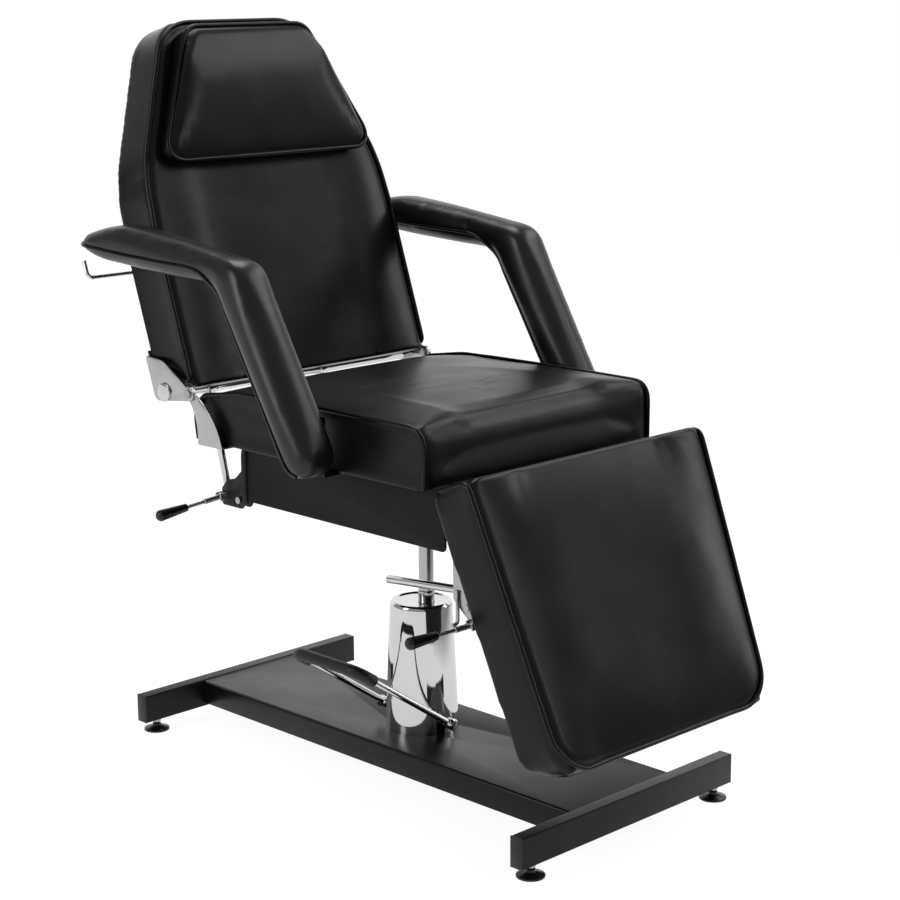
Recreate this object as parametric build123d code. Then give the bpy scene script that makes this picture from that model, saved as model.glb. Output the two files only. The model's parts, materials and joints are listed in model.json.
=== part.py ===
from build123d import *
import math
import os

os.makedirs("parts", exist_ok=True)

# Reclining treatment chair on a hydraulic column.
# Millimetres, +Z up, the sitter faces -Y, the floor is z = 0.
# Every shape is drawn round the column's axis; the export moves the whole
# chair so that the middle of its footprint is the origin.

# Clearances
column_lead = 13.0           # column axis before the middle of the footprint
overrun = 5.0                # how far a cutting tool runs past a face
running_fit = 0.05           # radial play of a shaft in its bore
seat_gap = 0.3               # between a piece and what it is dropped into
plate_gap = 0.4              # between two plates that turn on each other

# Main sizes
seat_width = 620.0
seat_underside = 680.0
seat_thickness = 122.0
seat_front = 319.0           # front and rear of the seat from the column axis
seat_rear = 341.0
seat_top = seat_underside + seat_thickness

# Base
beam_length = 600.0
beam_width = 30.0
beam_height = 60.0
beam_wall = 2.5
beam_corner = 3.0
beam_lift = 25.0             # underside of the beams above the floor
front_beam_reach = 534.0     # beam centres from the column axis
rear_beam_reach = 567.0
plug_flange = 2.0
plug_depth = 14.0
plate_width = 286.0
plate_depth = 50.0
plate_sheet = 3.0
plate_bend = 6.0
plate_step = 1.5             # plate's top below the beams' top

foot_inset = 38.0            # foot centre from the beam's end
foot_radius = 27.0
foot_edge = 4.0
foot_height = 10.0
foot_neck_radius = 9.0
foot_neck_top = 15.0
stem_radius = 5.0
stem_top = 52.0
lock_nut_flats = 17.0
lock_nut_height = 6.0

# Hydraulic pump
cover_shift = 15.0           # cover's centre behind the column axis
cover_foot_radius = 73.0
cover_top_radius = 61.0
cover_height = 264.0
cover_wall = 2.5
cover_rim = 9.0
cover_rim_share = 0.3        # how far the rim's middle is cut in
cover_dish_depth = 7.0
cover_dish_radius = 50.0
cover_slot = 2.0             # play of the pedal shaft in the cover
pump_foot_radius = 66.0
pump_foot_height = 12.0
pump_block_radius = 44.0
pump_block_height = 48.0
cylinder_radius = 27.0
cylinder_height = 252.0
bore_floor = 38.0            # bottom of the cylinder's bore above the plate
gland_radius = 17.3
gland_collar = 10.0
gland_neck_radius = 16.3
gland_neck = 27.0
gland_chamfer = 1.5
pump_bolt_radius = 4.0
pump_bolt_flats = 13.0
pump_bolt_head = 5.5
pump_bolt_circle = 56.0
pump_bolt_count = 4

# Pedal
pedal_shaft_shift = 18.0     # shaft axis to the left of the column axis
pedal_shaft_lift = 29.5      # shaft axis above the plate
pedal_shaft_radius = 7.0
pedal_front_reach = 82.0     # arm centres before and behind the column axis
pedal_rear_reach = 106.0
pedal_rise_deg = 34.0
pedal_length = 294.0
pedal_rod_radius = 6.5
pedal_bend = 26.0
pedal_hub_radius = 11.0
pedal_hub_length = 18.0
pedal_cap_radius = 12.0
pedal_cap_length = 7.0
sleeve_radius = 12.0
sleeve_leg = 46.0            # how far the sleeve runs back along each arm

# Piston and swivel
piston_radius = 15.0
piston_foot = 235.0
hub_drop = 184.0             # hub, flange and ram below the seat frame
hub_flange_drop = 135.0
hub_flange_height = 15.0
hub_foot_radius = 22.0
hub_flange_radius = 45.0
hub_flange_top = seat_underside - hub_flange_drop
hub_flange_foot = hub_flange_top - hub_flange_height
hub_foot = seat_underside - hub_drop
spigot_radius = 25.0
housing_radius = 42.0
housing_plate = 170.0
housing_plate_sheet = 8.0
swivel_nut_flats = 62.0
swivel_nut_height = 12.0

# Seat frame
panel_inset = 63.0           # side panels in from the seat's sides
panel_outer = seat_width / 2 - panel_inset
panel_sheet = 5.0
panel_front_inset = 14.0
panel_rear_inset = 92.0
panel_front = seat_front - panel_front_inset
panel_rear = seat_rear - panel_rear_inset
panel_height = 125.0
panel_corner = 34.0
panel_foot_corner = 10.0
panel_rim = 15.0
panel_rim_rise = 4.0
cross_tube = 40.0
cross_tube_wall = 2.5
rail_width = 40.0
rail_height = 30.0
rail_spacing = 120.0

# Seat
seat_rear_tuck = 13.0        # foot of the rear face before its belly
seat_rear_foot = seat_rear - seat_rear_tuck
seat_shoulder_inset = 23.0
seat_shoulder = seat_rear - seat_shoulder_inset
seat_mid_drop = 11.0
seat_mid_top = seat_top - seat_mid_drop
seat_mid_reach = 200.0
seat_shoulder_drop = 29.0
seat_shoulder_top = seat_top - seat_shoulder_drop
seat_belly_rise = 48.0
seat_belly = seat_underside + seat_belly_rise
seat_front_round = 36.0
seat_shoulder_round = 45.0
seat_rear_round = 30.0
seat_plan_round = 26.0
seat_edge_round = 8.0
seat_back_sweep = 300.0
board_sheet = 15.0
board_inset = 15.0
board_round = 20.0
bolster_width = 140.0
bolster_crown = 6.0
seat_dip = 15.0
side_draw = 6.0              # how far a cushion's side is drawn in

# Backrest
back_pivot_inset = 7.0       # back pivot before the seat's rear
back_pivot_drop = 26.0       # and below its top
back_pivot_y = seat_rear - back_pivot_inset
back_pivot_z = seat_top - back_pivot_drop
back_rest_deg = 71.2         # backrest's slope from level
back_proud = 10.0            # backrest past the seat, each side
back_half_width = seat_width / 2 + back_proud
back_foot = 9.8              # bottom edge beyond the pivot
back_face = 14.4             # front face before the pivot
back_thickness = 115.0
back_foot_flat = 48.0
back_foot_slope = 67.0
back_waist = 328.0           # where the sides start to narrow
back_neck = 451.0
back_neck_inset = 9.0
back_neck_half = back_half_width - back_neck_inset
back_crown_half = 172.0
back_top = 770.0
back_face_top = 752.0
back_rear_top = 778.0
back_neck_round = 60.0
back_waist_round = 200.0
back_top_round = 108.0
back_foot_round = 18.0
back_edge_round = 9.0
back_rear_round = 20.0
back_dip = 6.0
pillow_foot = 459.0
pillow_foot_half = 284.0
pillow_top = 731.0
pillow_top_half = 157.0
pillow_rise = 40.0           # piping above the backrest's face
pillow_crown = 15.0
pillow_foot_round = 32.0
pillow_top_round = 36.0
pillow_tuck = 14.0

# Leg rest
leg_pivot_lead = 19.0        # leg pivot before the seat's front
leg_pivot_y = -seat_front - leg_pivot_lead
leg_pivot_z = seat_underside
leg_rest_deg = 67.7
leg_proud = 11.0             # leg rest past the seat, each side
leg_half_width = seat_width / 2 + leg_proud
leg_taper = 31.0
leg_foot_half = leg_half_width - leg_taper
leg_top = 6.4
leg_foot = 536.0
leg_rear_foot = 560.0
leg_face = 112.6
leg_thickness = 106.0
leg_top_round = 28.0
leg_foot_round = 78.0
leg_rear_round = 58.0
leg_dip = 6.0

# Hinge plates
hinge_play = 11.0            # lower plate off the seat's side
hinge_inner = seat_width / 2 + hinge_play
hinge_sheet = 3.6
hinge_eye = 15.0
hinge_pin_radius = 5.0
hinge_head_radius = 9.0
hinge_head = 4.0
lower_plate_foot_front = 97.0
lower_plate_foot_rear = 21.0
lower_plate_bulge_y = 59.0
lower_plate_bulge_z = 32.0
lower_plate_waist_y = 19.0
lower_plate_waist_z = 58.0
upper_plate_reach = 136.0
upper_plate_rise = 61.0
upper_plate_heel_y = 106.0
upper_plate_heel_z = 28.0
upper_plate_heel_round = 18.0
upper_plate_tip_round = 5.0
upper_plate_shoulder_y = 80.0
upper_plate_shoulder_z = 57.0
upper_plate_shoulder_round = 55.0
flange_reach = 59.0          # how far the flanges reach under the boards
flange_inner = hinge_inner - flange_reach
flange_screw_radius = 3.0
flange_screw_head = 6.0
flange_screw_head_height = 3.0
flange_screw_grip = 9.0
back_flange_height = 32.0
back_screw_rise = 22.0
back_flange_width = 66.0

# Armrests
arm_play = 30.0              # armrest off the seat's side
arm_inner = seat_width / 2 + arm_play
arm_width = 75.0
arm_edge_round = 9.0
arm_tip_y = 603.0
arm_tip_rise = 260.0
arm_tip_z = seat_top + arm_tip_rise
arm_tip_round = 13.0
arm_crest_y = 455.0
arm_crest_rise = 301.0
arm_crest_z = seat_top + arm_crest_rise
arm_crest_round = 250.0
arm_elbow_y = 77.0
arm_elbow_rise = 261.0
arm_elbow_z = seat_top + arm_elbow_rise
arm_elbow_round = 42.0
arm_foot_front_y = -129.0
arm_foot_front_drop = 94.0
arm_foot_front_z = seat_top - arm_foot_front_drop
arm_foot_rear_y = -70.0
arm_foot_rear_drop = 126.0
arm_foot_rear_z = seat_top - arm_foot_rear_drop
arm_foot_round = 31.0
arm_crook_y = 146.0
arm_crook_rise = 222.0
arm_crook_z = seat_top + arm_crook_rise
arm_crook_round = 45.0
arm_under_y = 500.0
arm_under_rise = 239.0
arm_under_z = seat_top + arm_under_rise
arm_under_round = 120.0
arm_bracket_sheet = 4.0
arm_bracket_width = 50.0
arm_bracket_y = -58.0
arm_bracket_drop = 12.0
arm_bracket_top = seat_top - arm_bracket_drop
arm_bolt_radius = 4.0
arm_bolt_head_radius = 7.0
arm_bolt_head = 4.0
arm_bolt_depth = 25.0
arm_bolt_low_drop = 80.0
arm_bolt_high_drop = 34.0
arm_bolt_low = seat_top - arm_bolt_low_drop
arm_bolt_high = seat_top - arm_bolt_high_drop
arm_bolt_lean = 22.0

# Reclining rods, clamps and levers
rod_inset = 31.0             # rods in from the left side panel
rod_side = panel_outer - rod_inset
guide_side = 87.0            # second rod right of the middle
crossbar_reach = 77.0        # crossbar behind the back pivot
crossbar_drop = 7.0
crossbar_y = back_pivot_y + crossbar_reach
crossbar_z = back_pivot_z - crossbar_drop
crossbar_radius = 16.0
crossbar_flange_radius = 19.0
crossbar_flange = 3.0
back_rod_radius = 7.5
back_rod_lean_deg = 14.6
back_rod_length = 236.0
rod_eye_radius = 19.0
rod_eye_width = 22.0
clamp_reach = 91.0           # rear clamp behind the side panels
clamp_drop = 134.0           # and below the seat
clamp_y = panel_rear + clamp_reach
clamp_z = seat_underside - clamp_drop
cheek_gap = 0.6
cheek_sheet = 4.0
cheek_half = 21.0
cheek_depth = 17.0
cheek_lug_y = 4.0
cheek_lug_z = 37.0
cheek_back_y = 22.0
cheek_back_z = 43.0
cheek_arm = 19.0
cheek_round = 6.0
clamp_bolt_radius = 4.0
clamp_bolt_head_radius = 7.0
clamp_bolt_head = 4.0
clamp_bolt_setback = 33.0
leg_rod_radius = 8.0
leg_rod_rise_deg = 5.2
leg_rod_length = 272.0
leg_rod_pivot_lead = 54.0    # leg rod's pivot before the leg pivot
leg_rod_pivot_drop = 192.0
leg_rod_pivot_y = leg_pivot_y - leg_rod_pivot_lead
leg_rod_pivot_z = leg_pivot_z - leg_rod_pivot_drop
leg_rod_eye = 12.0
leg_rod_pin = 5.0
leg_cheek_half = 12.5
leg_ear_drop = 51.4
leg_ear_reach = 46.0
lever_pivot = 12.0           # lever pin outside the outer cheek
lever_eye = 7.0
lever_eye_width = 11.0
lever_pin = 3.0
ear_sheet = 3.0
ear_reach = 19.0
ear_half = 8.0
back_lever_reach = 10.0      # lever pin behind and above the clamp's centre
back_lever_rise = 3.0
back_lever_y = clamp_y + back_lever_reach
back_lever_z = clamp_z + back_lever_rise
back_lever_droop_deg = 4.6
leg_lever_lead = 61.0        # lever pin before the side panels
leg_lever_drop = 250.0
leg_lever_y = -panel_front - leg_lever_lead
leg_lever_z = seat_underside - leg_lever_drop
lever_length = 163.0
lever_tube = 5.5
lever_tube_length = 44.0
lever_rod = 3.6
grip_length = 74.0
grip_foot_radius = 8.0
grip_radius = 11.5
grip_socket = 30.0
hook_radius = 3.8
hook_setback = 44.0
hook_length = 15.0
hook_bend = 8.0

# Leg rest hinges
leg_hinge_side = 130.0
leg_hinge_length = 66.0
leg_knuckle = 6.0
leg_hinge_pin = 3.5
leg_leaf = 3.5
leg_leaf_width = 60.0

# Paper roll holder
roll_wire = 4.2
roll_proud = 66.0            # roll bar past the backrest, each side
roll_half = back_half_width + roll_proud
roll_along = 280.0
roll_standoff = 58.0
roll_tip = 36.0
roll_bend = 12.0
roll_bracket_side = 150.0
roll_pad_radius = 20.0
roll_pad = 3.0

# Worked out
beam_top = beam_lift + beam_height
plate_top = beam_top - plate_step
cover_top = plate_top + cover_height
pedal_axis_x = -pedal_shaft_shift
pedal_axis_z = plate_top + pedal_shaft_lift
cylinder_top = plate_top + cylinder_height
panel_foot = seat_underside - panel_height
hinge_outer = hinge_inner + hinge_sheet
upper_inner = hinge_outer + plate_gap
upper_outer = upper_inner + hinge_sheet
tube_top = seat_underside - hinge_sheet
housing_top = tube_top - cross_tube - rail_height
spigot_top = housing_top + swivel_nut_height
cheek_inner = leg_rod_radius + cheek_gap
cheek_outer = cheek_inner + cheek_sheet


# Helpers
def block(x0, x1, y0, y1, z0, z1):
    """Box between two opposite corners."""
    middle = Pos((x0 + x1) / 2, (y0 + y1) / 2, (z0 + z1) / 2)
    return middle * Box(x1 - x0, y1 - y0, z1 - z0)


def bar_x(x0, x1, y, z, radius):
    """Round bar along X."""
    return Pos((x0 + x1) / 2, y, z) * Rot(0, 90, 0) * Cylinder(radius, x1 - x0)


def bar_y(y0, y1, x, z, radius):
    """Round bar along Y."""
    return Pos(x, (y0 + y1) / 2, z) * Rot(90, 0, 0) * Cylinder(radius, y1 - y0)


def bar_z(z0, z1, x, y, radius):
    """Round bar along Z."""
    return Pos(x, y, (z0 + z1) / 2) * Cylinder(radius, z1 - z0)


def hexagon(flats, height):
    """Upright hexagonal prism standing on z = 0."""
    return extrude(RegularPolygon(flats / 2, 6, major_radius=False), height)


def outline(*corners):
    """Flat face whose corners are given as (x, y, radius)."""
    points = [(x, y) for x, y, radius in corners]
    radii = [radius for x, y, radius in corners]
    return make_face(FilletPolyline(*points, radius=radii, close=True))


def mirrored_outline(*corners):
    """Face drawn for x > 0, from the bottom up, and closed over x = 0."""
    other = [(-x, y, radius) for x, y, radius in reversed(corners)]
    return outline(*corners, *other)


def side_plate(face, x0, x1):
    """Extrude a face drawn in (Y, Z) from x0 to x1."""
    return extrude(Plane.YZ.offset(x0) * face, x1 - x0)


def turned(*profile):
    """Turn a profile of (radius, height) points round Z."""
    face = make_face(Polyline(*profile, close=True))
    return revolve(Plane.XZ * face, Axis.Z)


def both_sides(shape):
    """The shape with its mirror image on the other side of the chair."""
    return Compound(children=[shape, mirror(shape, Plane.YZ)])


def back_frame(shape):
    """From the backrest's own axes, y up its face and z out of it."""
    return Pos(0, back_pivot_y, back_pivot_z) * Rot(back_rest_deg, 0, 0) * shape


def leg_frame(shape):
    """From the leg rest's own axes, y up its face and z out of it."""
    return Pos(0, leg_pivot_y, leg_pivot_z) * Rot(leg_rest_deg, 0, 0) * shape


def padded_section(half, face, foot, dip):
    """Cross-section of a cushion in (x, z): bolsters, dip and drawn-in sides."""
    half = half + seat_gap
    inner = half - bolster_width
    waist = (face + foot) / 2
    crest = face + bolster_crown
    lines = []
    for side in (1, -1):
        edge = (side * half, face)
        top = (side * (half + inner) / 2, crest)
        low = (side * inner, face - dip)
        lines.append(ThreePointArc(edge, top, low))
        drawn = (side * (half - side_draw), waist)
        lines.append(ThreePointArc(edge, drawn, (side * half, foot)))
    lines.append(Line((inner, face - dip), (-inner, face - dip)))
    lines.append(Line((half, foot), (-half, foot)))
    return make_face(Curve() + lines)


def cushion(plan, profile, section, length):
    """Where the plan, the side profile and the cross-section meet."""
    reach = 2 * length
    upright = extrude(Pos(0, 0, -reach) * plan, 2 * reach)
    across = extrude(Plane.YZ.offset(-reach) * profile, 2 * reach)
    along = extrude(Plane.XZ.offset(-reach) * section, 2 * reach)
    return upright & across & along


# Base
def beam(reach):
    """Rectangular tube that lies across the chair."""
    size = Plane.YZ.offset(-beam_length / 2 + plug_flange)
    long = beam_length - 2 * plug_flange
    middle = Pos(reach, beam_lift + beam_height / 2)
    skin = RectangleRounded(beam_width, beam_height, beam_corner)
    hollow = Rectangle(beam_width - 2 * beam_wall, beam_height - 2 * beam_wall)
    tube = extrude(size * middle * (skin - hollow), long)
    for side in (-1, 1):
        x = side * (beam_length / 2 - foot_inset)
        tube -= bar_z(0, beam_lift + beam_wall + overrun, x, reach, stem_radius + running_fit)
    return tube


def end_plug(side, reach):
    """Plastic plug in the open end of a beam."""
    end = side * beam_length / 2
    inside = side * (beam_length / 2 - plug_flange)
    core_y = beam_width / 2 - beam_wall - seat_gap
    core_z = beam_wall + seat_gap
    x0, x1 = sorted((end, inside))
    flange = block(x0, x1, reach - beam_width / 2, reach + beam_width / 2, beam_lift, beam_top)
    x0, x1 = sorted((inside, side * (beam_length / 2 - plug_depth)))
    core = block(x0, x1, reach - core_y, reach + core_y, beam_lift + core_z, beam_top - core_z)
    return flange + core


def base_plate():
    """Folded sheet between the beams, open below."""
    front = -front_beam_reach + beam_width / 2
    rear = rear_beam_reach - beam_width / 2
    foot = plate_top - plate_depth
    half = plate_width / 2
    outer = outline((half, foot, 0), (half, plate_top, plate_bend),
                    (-half, plate_top, plate_bend), (-half, foot, 0))
    inner_half = half - plate_sheet
    inner_top = plate_top - plate_sheet
    inner_bend = plate_bend - plate_sheet
    inner = outline((inner_half, foot - overrun, 0), (inner_half, inner_top, inner_bend),
                    (-inner_half, inner_top, inner_bend), (-inner_half, foot - overrun, 0))
    sheet = extrude(Plane.XZ.offset(-rear) * (outer - inner), rear - front)
    for x, y in bolt_places():
        sheet -= bar_z(inner_top - overrun, beam_top + overrun, x, y, pump_bolt_radius + running_fit)
    return sheet


def foot():
    """Levelling foot with its threaded stem, standing at the origin."""
    return turned((0, 0), (foot_radius, 0), (foot_radius, foot_edge),
                  (foot_neck_radius, foot_height), (foot_neck_radius, foot_neck_top),
                  (stem_radius, foot_neck_top), (stem_radius, stem_top), (0, stem_top))


def foot_places():
    """Centres of the four feet, front left first."""
    side = beam_length / 2 - foot_inset
    return [(-side, -front_beam_reach), (side, -front_beam_reach),
            (-side, rear_beam_reach), (side, rear_beam_reach)]


def lock_nut():
    """Thin nut that locks a foot against its beam."""
    nut = Pos(0, 0, beam_lift - lock_nut_height) * hexagon(lock_nut_flats, lock_nut_height)
    return nut - bar_z(0, beam_lift + overrun, 0, 0, stem_radius + running_fit)


# Hydraulic pump
def bolt_places():
    """Centres of the bolts that hold the pump to the plate."""
    places = []
    for index in range(pump_bolt_count):
        turn = math.radians(45 + 360 / pump_bolt_count * index)
        x = pump_bolt_circle * math.cos(turn)
        places.append((x, cover_shift + pump_bolt_circle * math.sin(turn)))
    return places


def pump_cylinder():
    """Pump foot and block with the lifting cylinder on top."""
    foot_top = plate_top + pump_foot_height
    body = bar_z(plate_top, foot_top, 0, cover_shift, pump_foot_radius)
    body += bar_z(foot_top, plate_top + pump_block_height, 0, cover_shift, pump_block_radius)
    body += bar_z(foot_top, cylinder_top, 0, 0, cylinder_radius)
    body -= bar_z(plate_top + bore_floor, cylinder_top + overrun, 0, 0, piston_radius + running_fit)
    body -= bar_y(-pedal_front_reach, pedal_rear_reach, pedal_axis_x, pedal_axis_z,
                  pedal_shaft_radius + running_fit)
    for x, y in bolt_places():
        body -= bar_z(plate_top - overrun, foot_top + overrun, x, y, pump_bolt_radius + running_fit)
    return body


def pump_cover():
    """Tapered bright cover with a rolled rim, a dished top and slots for the pedal's shaft."""
    top = cover_height
    dish = top - cover_dish_depth
    low, side = cover_rim * cover_rim_share, cover_rim * cover_rim_share
    outer = turned((0, 0), (cover_foot_radius, 0), (cover_top_radius, top - cover_rim),
                   (cover_top_radius - side, top - low), (cover_top_radius - cover_rim, top), (0, top))
    inner_top = dish - cover_wall
    inner = turned((0, -overrun), (cover_foot_radius - cover_wall, -overrun),
                   (cover_foot_radius - cover_wall, 0),
                   (cover_top_radius - cover_wall, inner_top), (0, inner_top))
    bowl = turned((0, dish), (cover_dish_radius - cover_dish_depth, dish),
                  (cover_dish_radius, top), (cover_dish_radius, top + overrun), (0, top + overrun))
    shell = Pos(0, cover_shift, plate_top) * (outer - inner - bowl)
    shell -= bar_z(cylinder_top, cover_top + overrun, 0, 0, gland_neck_radius + seat_gap)
    slot = pedal_shaft_radius + cover_slot
    return shell - block(pedal_axis_x - slot, pedal_axis_x + slot, -pedal_front_reach, pedal_rear_reach,
                         plate_top - overrun, pedal_axis_z + slot)


def pump_gland():
    """Stepped collar that guides the piston out of the cylinder."""
    bore = piston_radius + running_fit
    neck = cylinder_top + gland_neck
    top = neck + gland_collar
    return turned((bore, cylinder_top), (gland_neck_radius, cylinder_top),
                  (gland_neck_radius, neck), (gland_radius, neck),
                  (gland_radius, top - gland_chamfer), (gland_radius - gland_chamfer, top),
                  (bore, top))


def pump_bolt():
    """Bolt from below, head against the plate, standing on z = 0."""
    foot = plate_top - plate_sheet
    head = Pos(0, 0, foot - pump_bolt_head) * hexagon(pump_bolt_flats, pump_bolt_head)
    return head + bar_z(foot, plate_top + pump_foot_height, 0, 0, pump_bolt_radius)


# Pedal
def pedal_frame_axes(shape):
    """From the pedal's own axes, x along its arms, to the pump."""
    return Pos(pedal_axis_x, 0, pedal_axis_z) * Rot(0, 180 + pedal_rise_deg, 0) * shape


def pedal_path(start):
    """Centre line of the pedal's rod from one arm round to the other."""
    points = [(start, -pedal_front_reach), (pedal_length, -pedal_front_reach),
              (pedal_length, pedal_rear_reach), (start, pedal_rear_reach)]
    return FilletPolyline(*points, radius=pedal_bend)


def pedal_hub(y):
    """Hub that carries an arm on the end of the shaft."""
    half = pedal_hub_length / 2
    hub = bar_y(y - half, y + half, 0, 0, pedal_hub_radius)
    return hub - bar_y(y - pedal_hub_length, y + pedal_hub_length, 0, 0, pedal_shaft_radius)


def pedal_frame():
    """Bent rod welded to a hub on each side of the pump."""
    path = pedal_path((pedal_shaft_radius + pedal_hub_radius) / 2)
    start = Plane(path @ 0, z_dir=path % 0)
    rod = sweep(start * Circle(pedal_rod_radius), path)
    for y in (-pedal_front_reach, pedal_rear_reach):
        rod = rod + pedal_hub(y)
    return pedal_frame_axes(rod)


def pedal_sleeve():
    """Rubber tube pushed over the bend of the pedal."""
    path = pedal_path(pedal_length - sleeve_leg)
    start = Plane(path @ 0, z_dir=path % 0)
    ring = Circle(sleeve_radius) - Circle(pedal_rod_radius + running_fit)
    return pedal_frame_axes(sweep(start * ring, path))


def pedal_shaft():
    """Cross shaft through the pump block."""
    half = pedal_hub_length / 2
    return bar_y(-pedal_front_reach - half, pedal_rear_reach + half,
                 pedal_axis_x, pedal_axis_z, pedal_shaft_radius)


def pedal_cap(side, y):
    """Domed cap that closes the hub at one end of the shaft."""
    face = y + side * pedal_hub_length / 2
    rim = pedal_cap_length / 2
    cap = turned((0, 0), (pedal_cap_radius, 0), (pedal_cap_radius, rim),
                 (pedal_cap_radius - rim, pedal_cap_length), (0, pedal_cap_length))
    return Pos(pedal_axis_x, face, pedal_axis_z) * Rot(-90 * side, 0, 0) * cap


# Piston and swivel
def piston_rod():
    """Polished ram that lifts the chair."""
    return bar_z(piston_foot, hub_flange_top, 0, 0, piston_radius)


def swivel_hub():
    """Flanged hub on the ram; the housing turns on its spigot."""
    hub = turned((piston_radius, hub_foot), (hub_foot_radius, hub_foot),
                 (hub_flange_radius, hub_flange_foot), (hub_flange_radius, hub_flange_top),
                 (spigot_radius, hub_flange_top), (spigot_radius, spigot_top), (0, spigot_top),
                 (0, hub_flange_top), (piston_radius, hub_flange_top))
    return hub


def bearing_housing():
    """Tube and plate that turn on the hub and carry the seat frame."""
    top = housing_top
    tube = bar_z(hub_flange_top, top, 0, 0, housing_radius)
    half = housing_plate / 2
    plate = block(-half, half, -half, half, top - housing_plate_sheet, top)
    return tube + plate - bar_z(hub_flange_top - overrun, top + overrun, 0, 0, spigot_radius + running_fit)


def swivel_nut():
    """Nut that keeps the housing on the hub."""
    foot = housing_top + plate_gap
    ring = Pos(0, 0, foot) * hexagon(swivel_nut_flats, spigot_top - foot)
    return ring - bar_z(foot - overrun, spigot_top + overrun, 0, 0, spigot_radius)


# Seat frame
def side_panel():
    """Right-hand side panel with its raised rear rim."""
    face = outline((-panel_front, panel_foot, panel_foot_corner),
                   (panel_rear, panel_foot, panel_foot_corner),
                   (panel_rear, seat_underside, panel_corner),
                   (-panel_front, seat_underside, panel_foot_corner))
    inner = panel_outer - panel_sheet
    panel = side_plate(face, inner, panel_outer)
    rim = side_plate(face, panel_outer, panel_outer + panel_rim_rise)
    keep = block(panel_outer, panel_outer + panel_rim_rise, panel_rear - panel_rim, panel_rear,
                 panel_foot, seat_underside)
    return panel + (rim & keep)


def cross_tube_at(y):
    """Square tube between the side panels."""
    half = panel_outer - panel_sheet
    middle = Pos(y, tube_top - cross_tube / 2)
    hollow = cross_tube - 2 * cross_tube_wall
    skin = Rectangle(cross_tube, cross_tube) - Rectangle(hollow, hollow)
    return extrude(Plane.YZ.offset(-half) * middle * skin, 2 * half)


def swivel_rail(x):
    """Tube along the chair, under the cross tubes, over the housing plate."""
    top = tube_top - cross_tube
    middle = Pos(x, top - rail_height / 2)
    skin = Rectangle(rail_width, rail_height)
    hollow = Rectangle(rail_width - 2 * cross_tube_wall, rail_height - 2 * cross_tube_wall)
    return extrude(Plane.XZ.offset(-panel_rear) * middle * (skin - hollow), panel_front + panel_rear)


# Seat
def seat_board():
    """Plywood board that the seat cushion is stapled to."""
    half = seat_width / 2 - board_inset
    front = -seat_front + board_inset
    rear = seat_rear_foot - board_inset
    face = mirrored_outline((half, front, board_round), (half, rear, board_round))
    board = extrude(Pos(0, 0, seat_underside) * face, board_sheet)
    for x, y in flange_screw_places() + bracket_screw_places():
        board -= bar_z(seat_underside - overrun, seat_underside + flange_screw_grip, x, y,
                       flange_screw_radius + running_fit)
        board -= bar_z(seat_underside - overrun, seat_underside + flange_screw_grip, -x, y,
                       flange_screw_radius + running_fit)
    return board


def seat_cushion():
    """Seat with a waterfall front, bolsters and a rounded rear."""
    half = seat_width / 2
    plan = mirrored_outline((half, -seat_front, seat_plan_round), (half, seat_rear, seat_plan_round))
    profile = outline((-seat_front, seat_underside, seat_edge_round),
                      (-seat_front, seat_top, seat_front_round),
                      (seat_mid_reach, seat_mid_top, seat_back_sweep),
                      (seat_shoulder, seat_shoulder_top, seat_shoulder_round),
                      (seat_rear, seat_belly, seat_rear_round),
                      (seat_rear_foot, seat_underside, seat_edge_round))
    section = padded_section(half, seat_top - bolster_crown, seat_underside, seat_dip - bolster_crown)
    form = cushion(plan, profile, section, seat_top)
    room = board_inset - seat_gap
    pocket = mirrored_outline((half - room, -seat_front + room, board_round),
                              (half - room, seat_rear_foot - room, board_round))
    depth = board_sheet + seat_gap + overrun
    return form - extrude(Pos(0, 0, seat_underside - overrun) * pocket, depth)


# Hinge plates
def lower_plate_face():
    """Curved lower plate in (Y, Z) about the back pivot."""
    foot = seat_underside - hinge_sheet - back_pivot_z
    front = ThreePointArc((-hinge_eye, 0), (-lower_plate_bulge_y, -lower_plate_bulge_z),
                          (-lower_plate_foot_front, foot))
    rear = ThreePointArc((hinge_eye / 2, -hinge_eye / 2), (-lower_plate_waist_y, -lower_plate_waist_z),
                         (-lower_plate_foot_rear, foot))
    lines = [front, rear, Line((-lower_plate_foot_front, foot), (-lower_plate_foot_rear, foot)),
             Line((-hinge_eye, 0), (hinge_eye / 2, -hinge_eye / 2))]
    return make_face(Curve() + lines) + Circle(hinge_eye)


def lower_hinge():
    """Right-hand lower plate with its flange under the seat board."""
    face = Pos(back_pivot_y, back_pivot_z) * (lower_plate_face() - Circle(hinge_pin_radius + running_fit))
    plate = side_plate(face, hinge_inner, hinge_outer)
    flange = block(flange_inner, hinge_inner, back_pivot_y - lower_plate_foot_front,
                   back_pivot_y - lower_plate_foot_rear - hinge_sheet,
                   seat_underside - hinge_sheet, seat_underside)
    for x, y in flange_screw_places():
        flange -= bar_z(seat_underside - hinge_sheet - overrun, seat_underside + overrun, x, y,
                        flange_screw_radius + running_fit)
    return plate + flange


def upper_plate_face():
    """Curved upper plate in (Y, Z) about the back pivot, at the upright stop."""
    face = outline((upper_plate_reach, upper_plate_rise, upper_plate_tip_round),
                   (upper_plate_heel_y, -upper_plate_heel_z, upper_plate_heel_round),
                   (0, -hinge_eye, 0), (-hinge_eye, 0, 0),
                   (upper_plate_shoulder_y, upper_plate_shoulder_z, upper_plate_shoulder_round))
    bore = Circle(hinge_pin_radius + running_fit)
    return face + Circle(hinge_eye) - bore


def upper_hinge():
    """Right-hand upper plate with its flange on the back board."""
    face = Pos(back_pivot_y, back_pivot_z) * upper_plate_face()
    bar = Pos(crossbar_y, crossbar_z) * Circle(crossbar_radius)
    plate = side_plate(face - bar, upper_inner, upper_outer)
    return plate + back_frame(back_flange())


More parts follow.
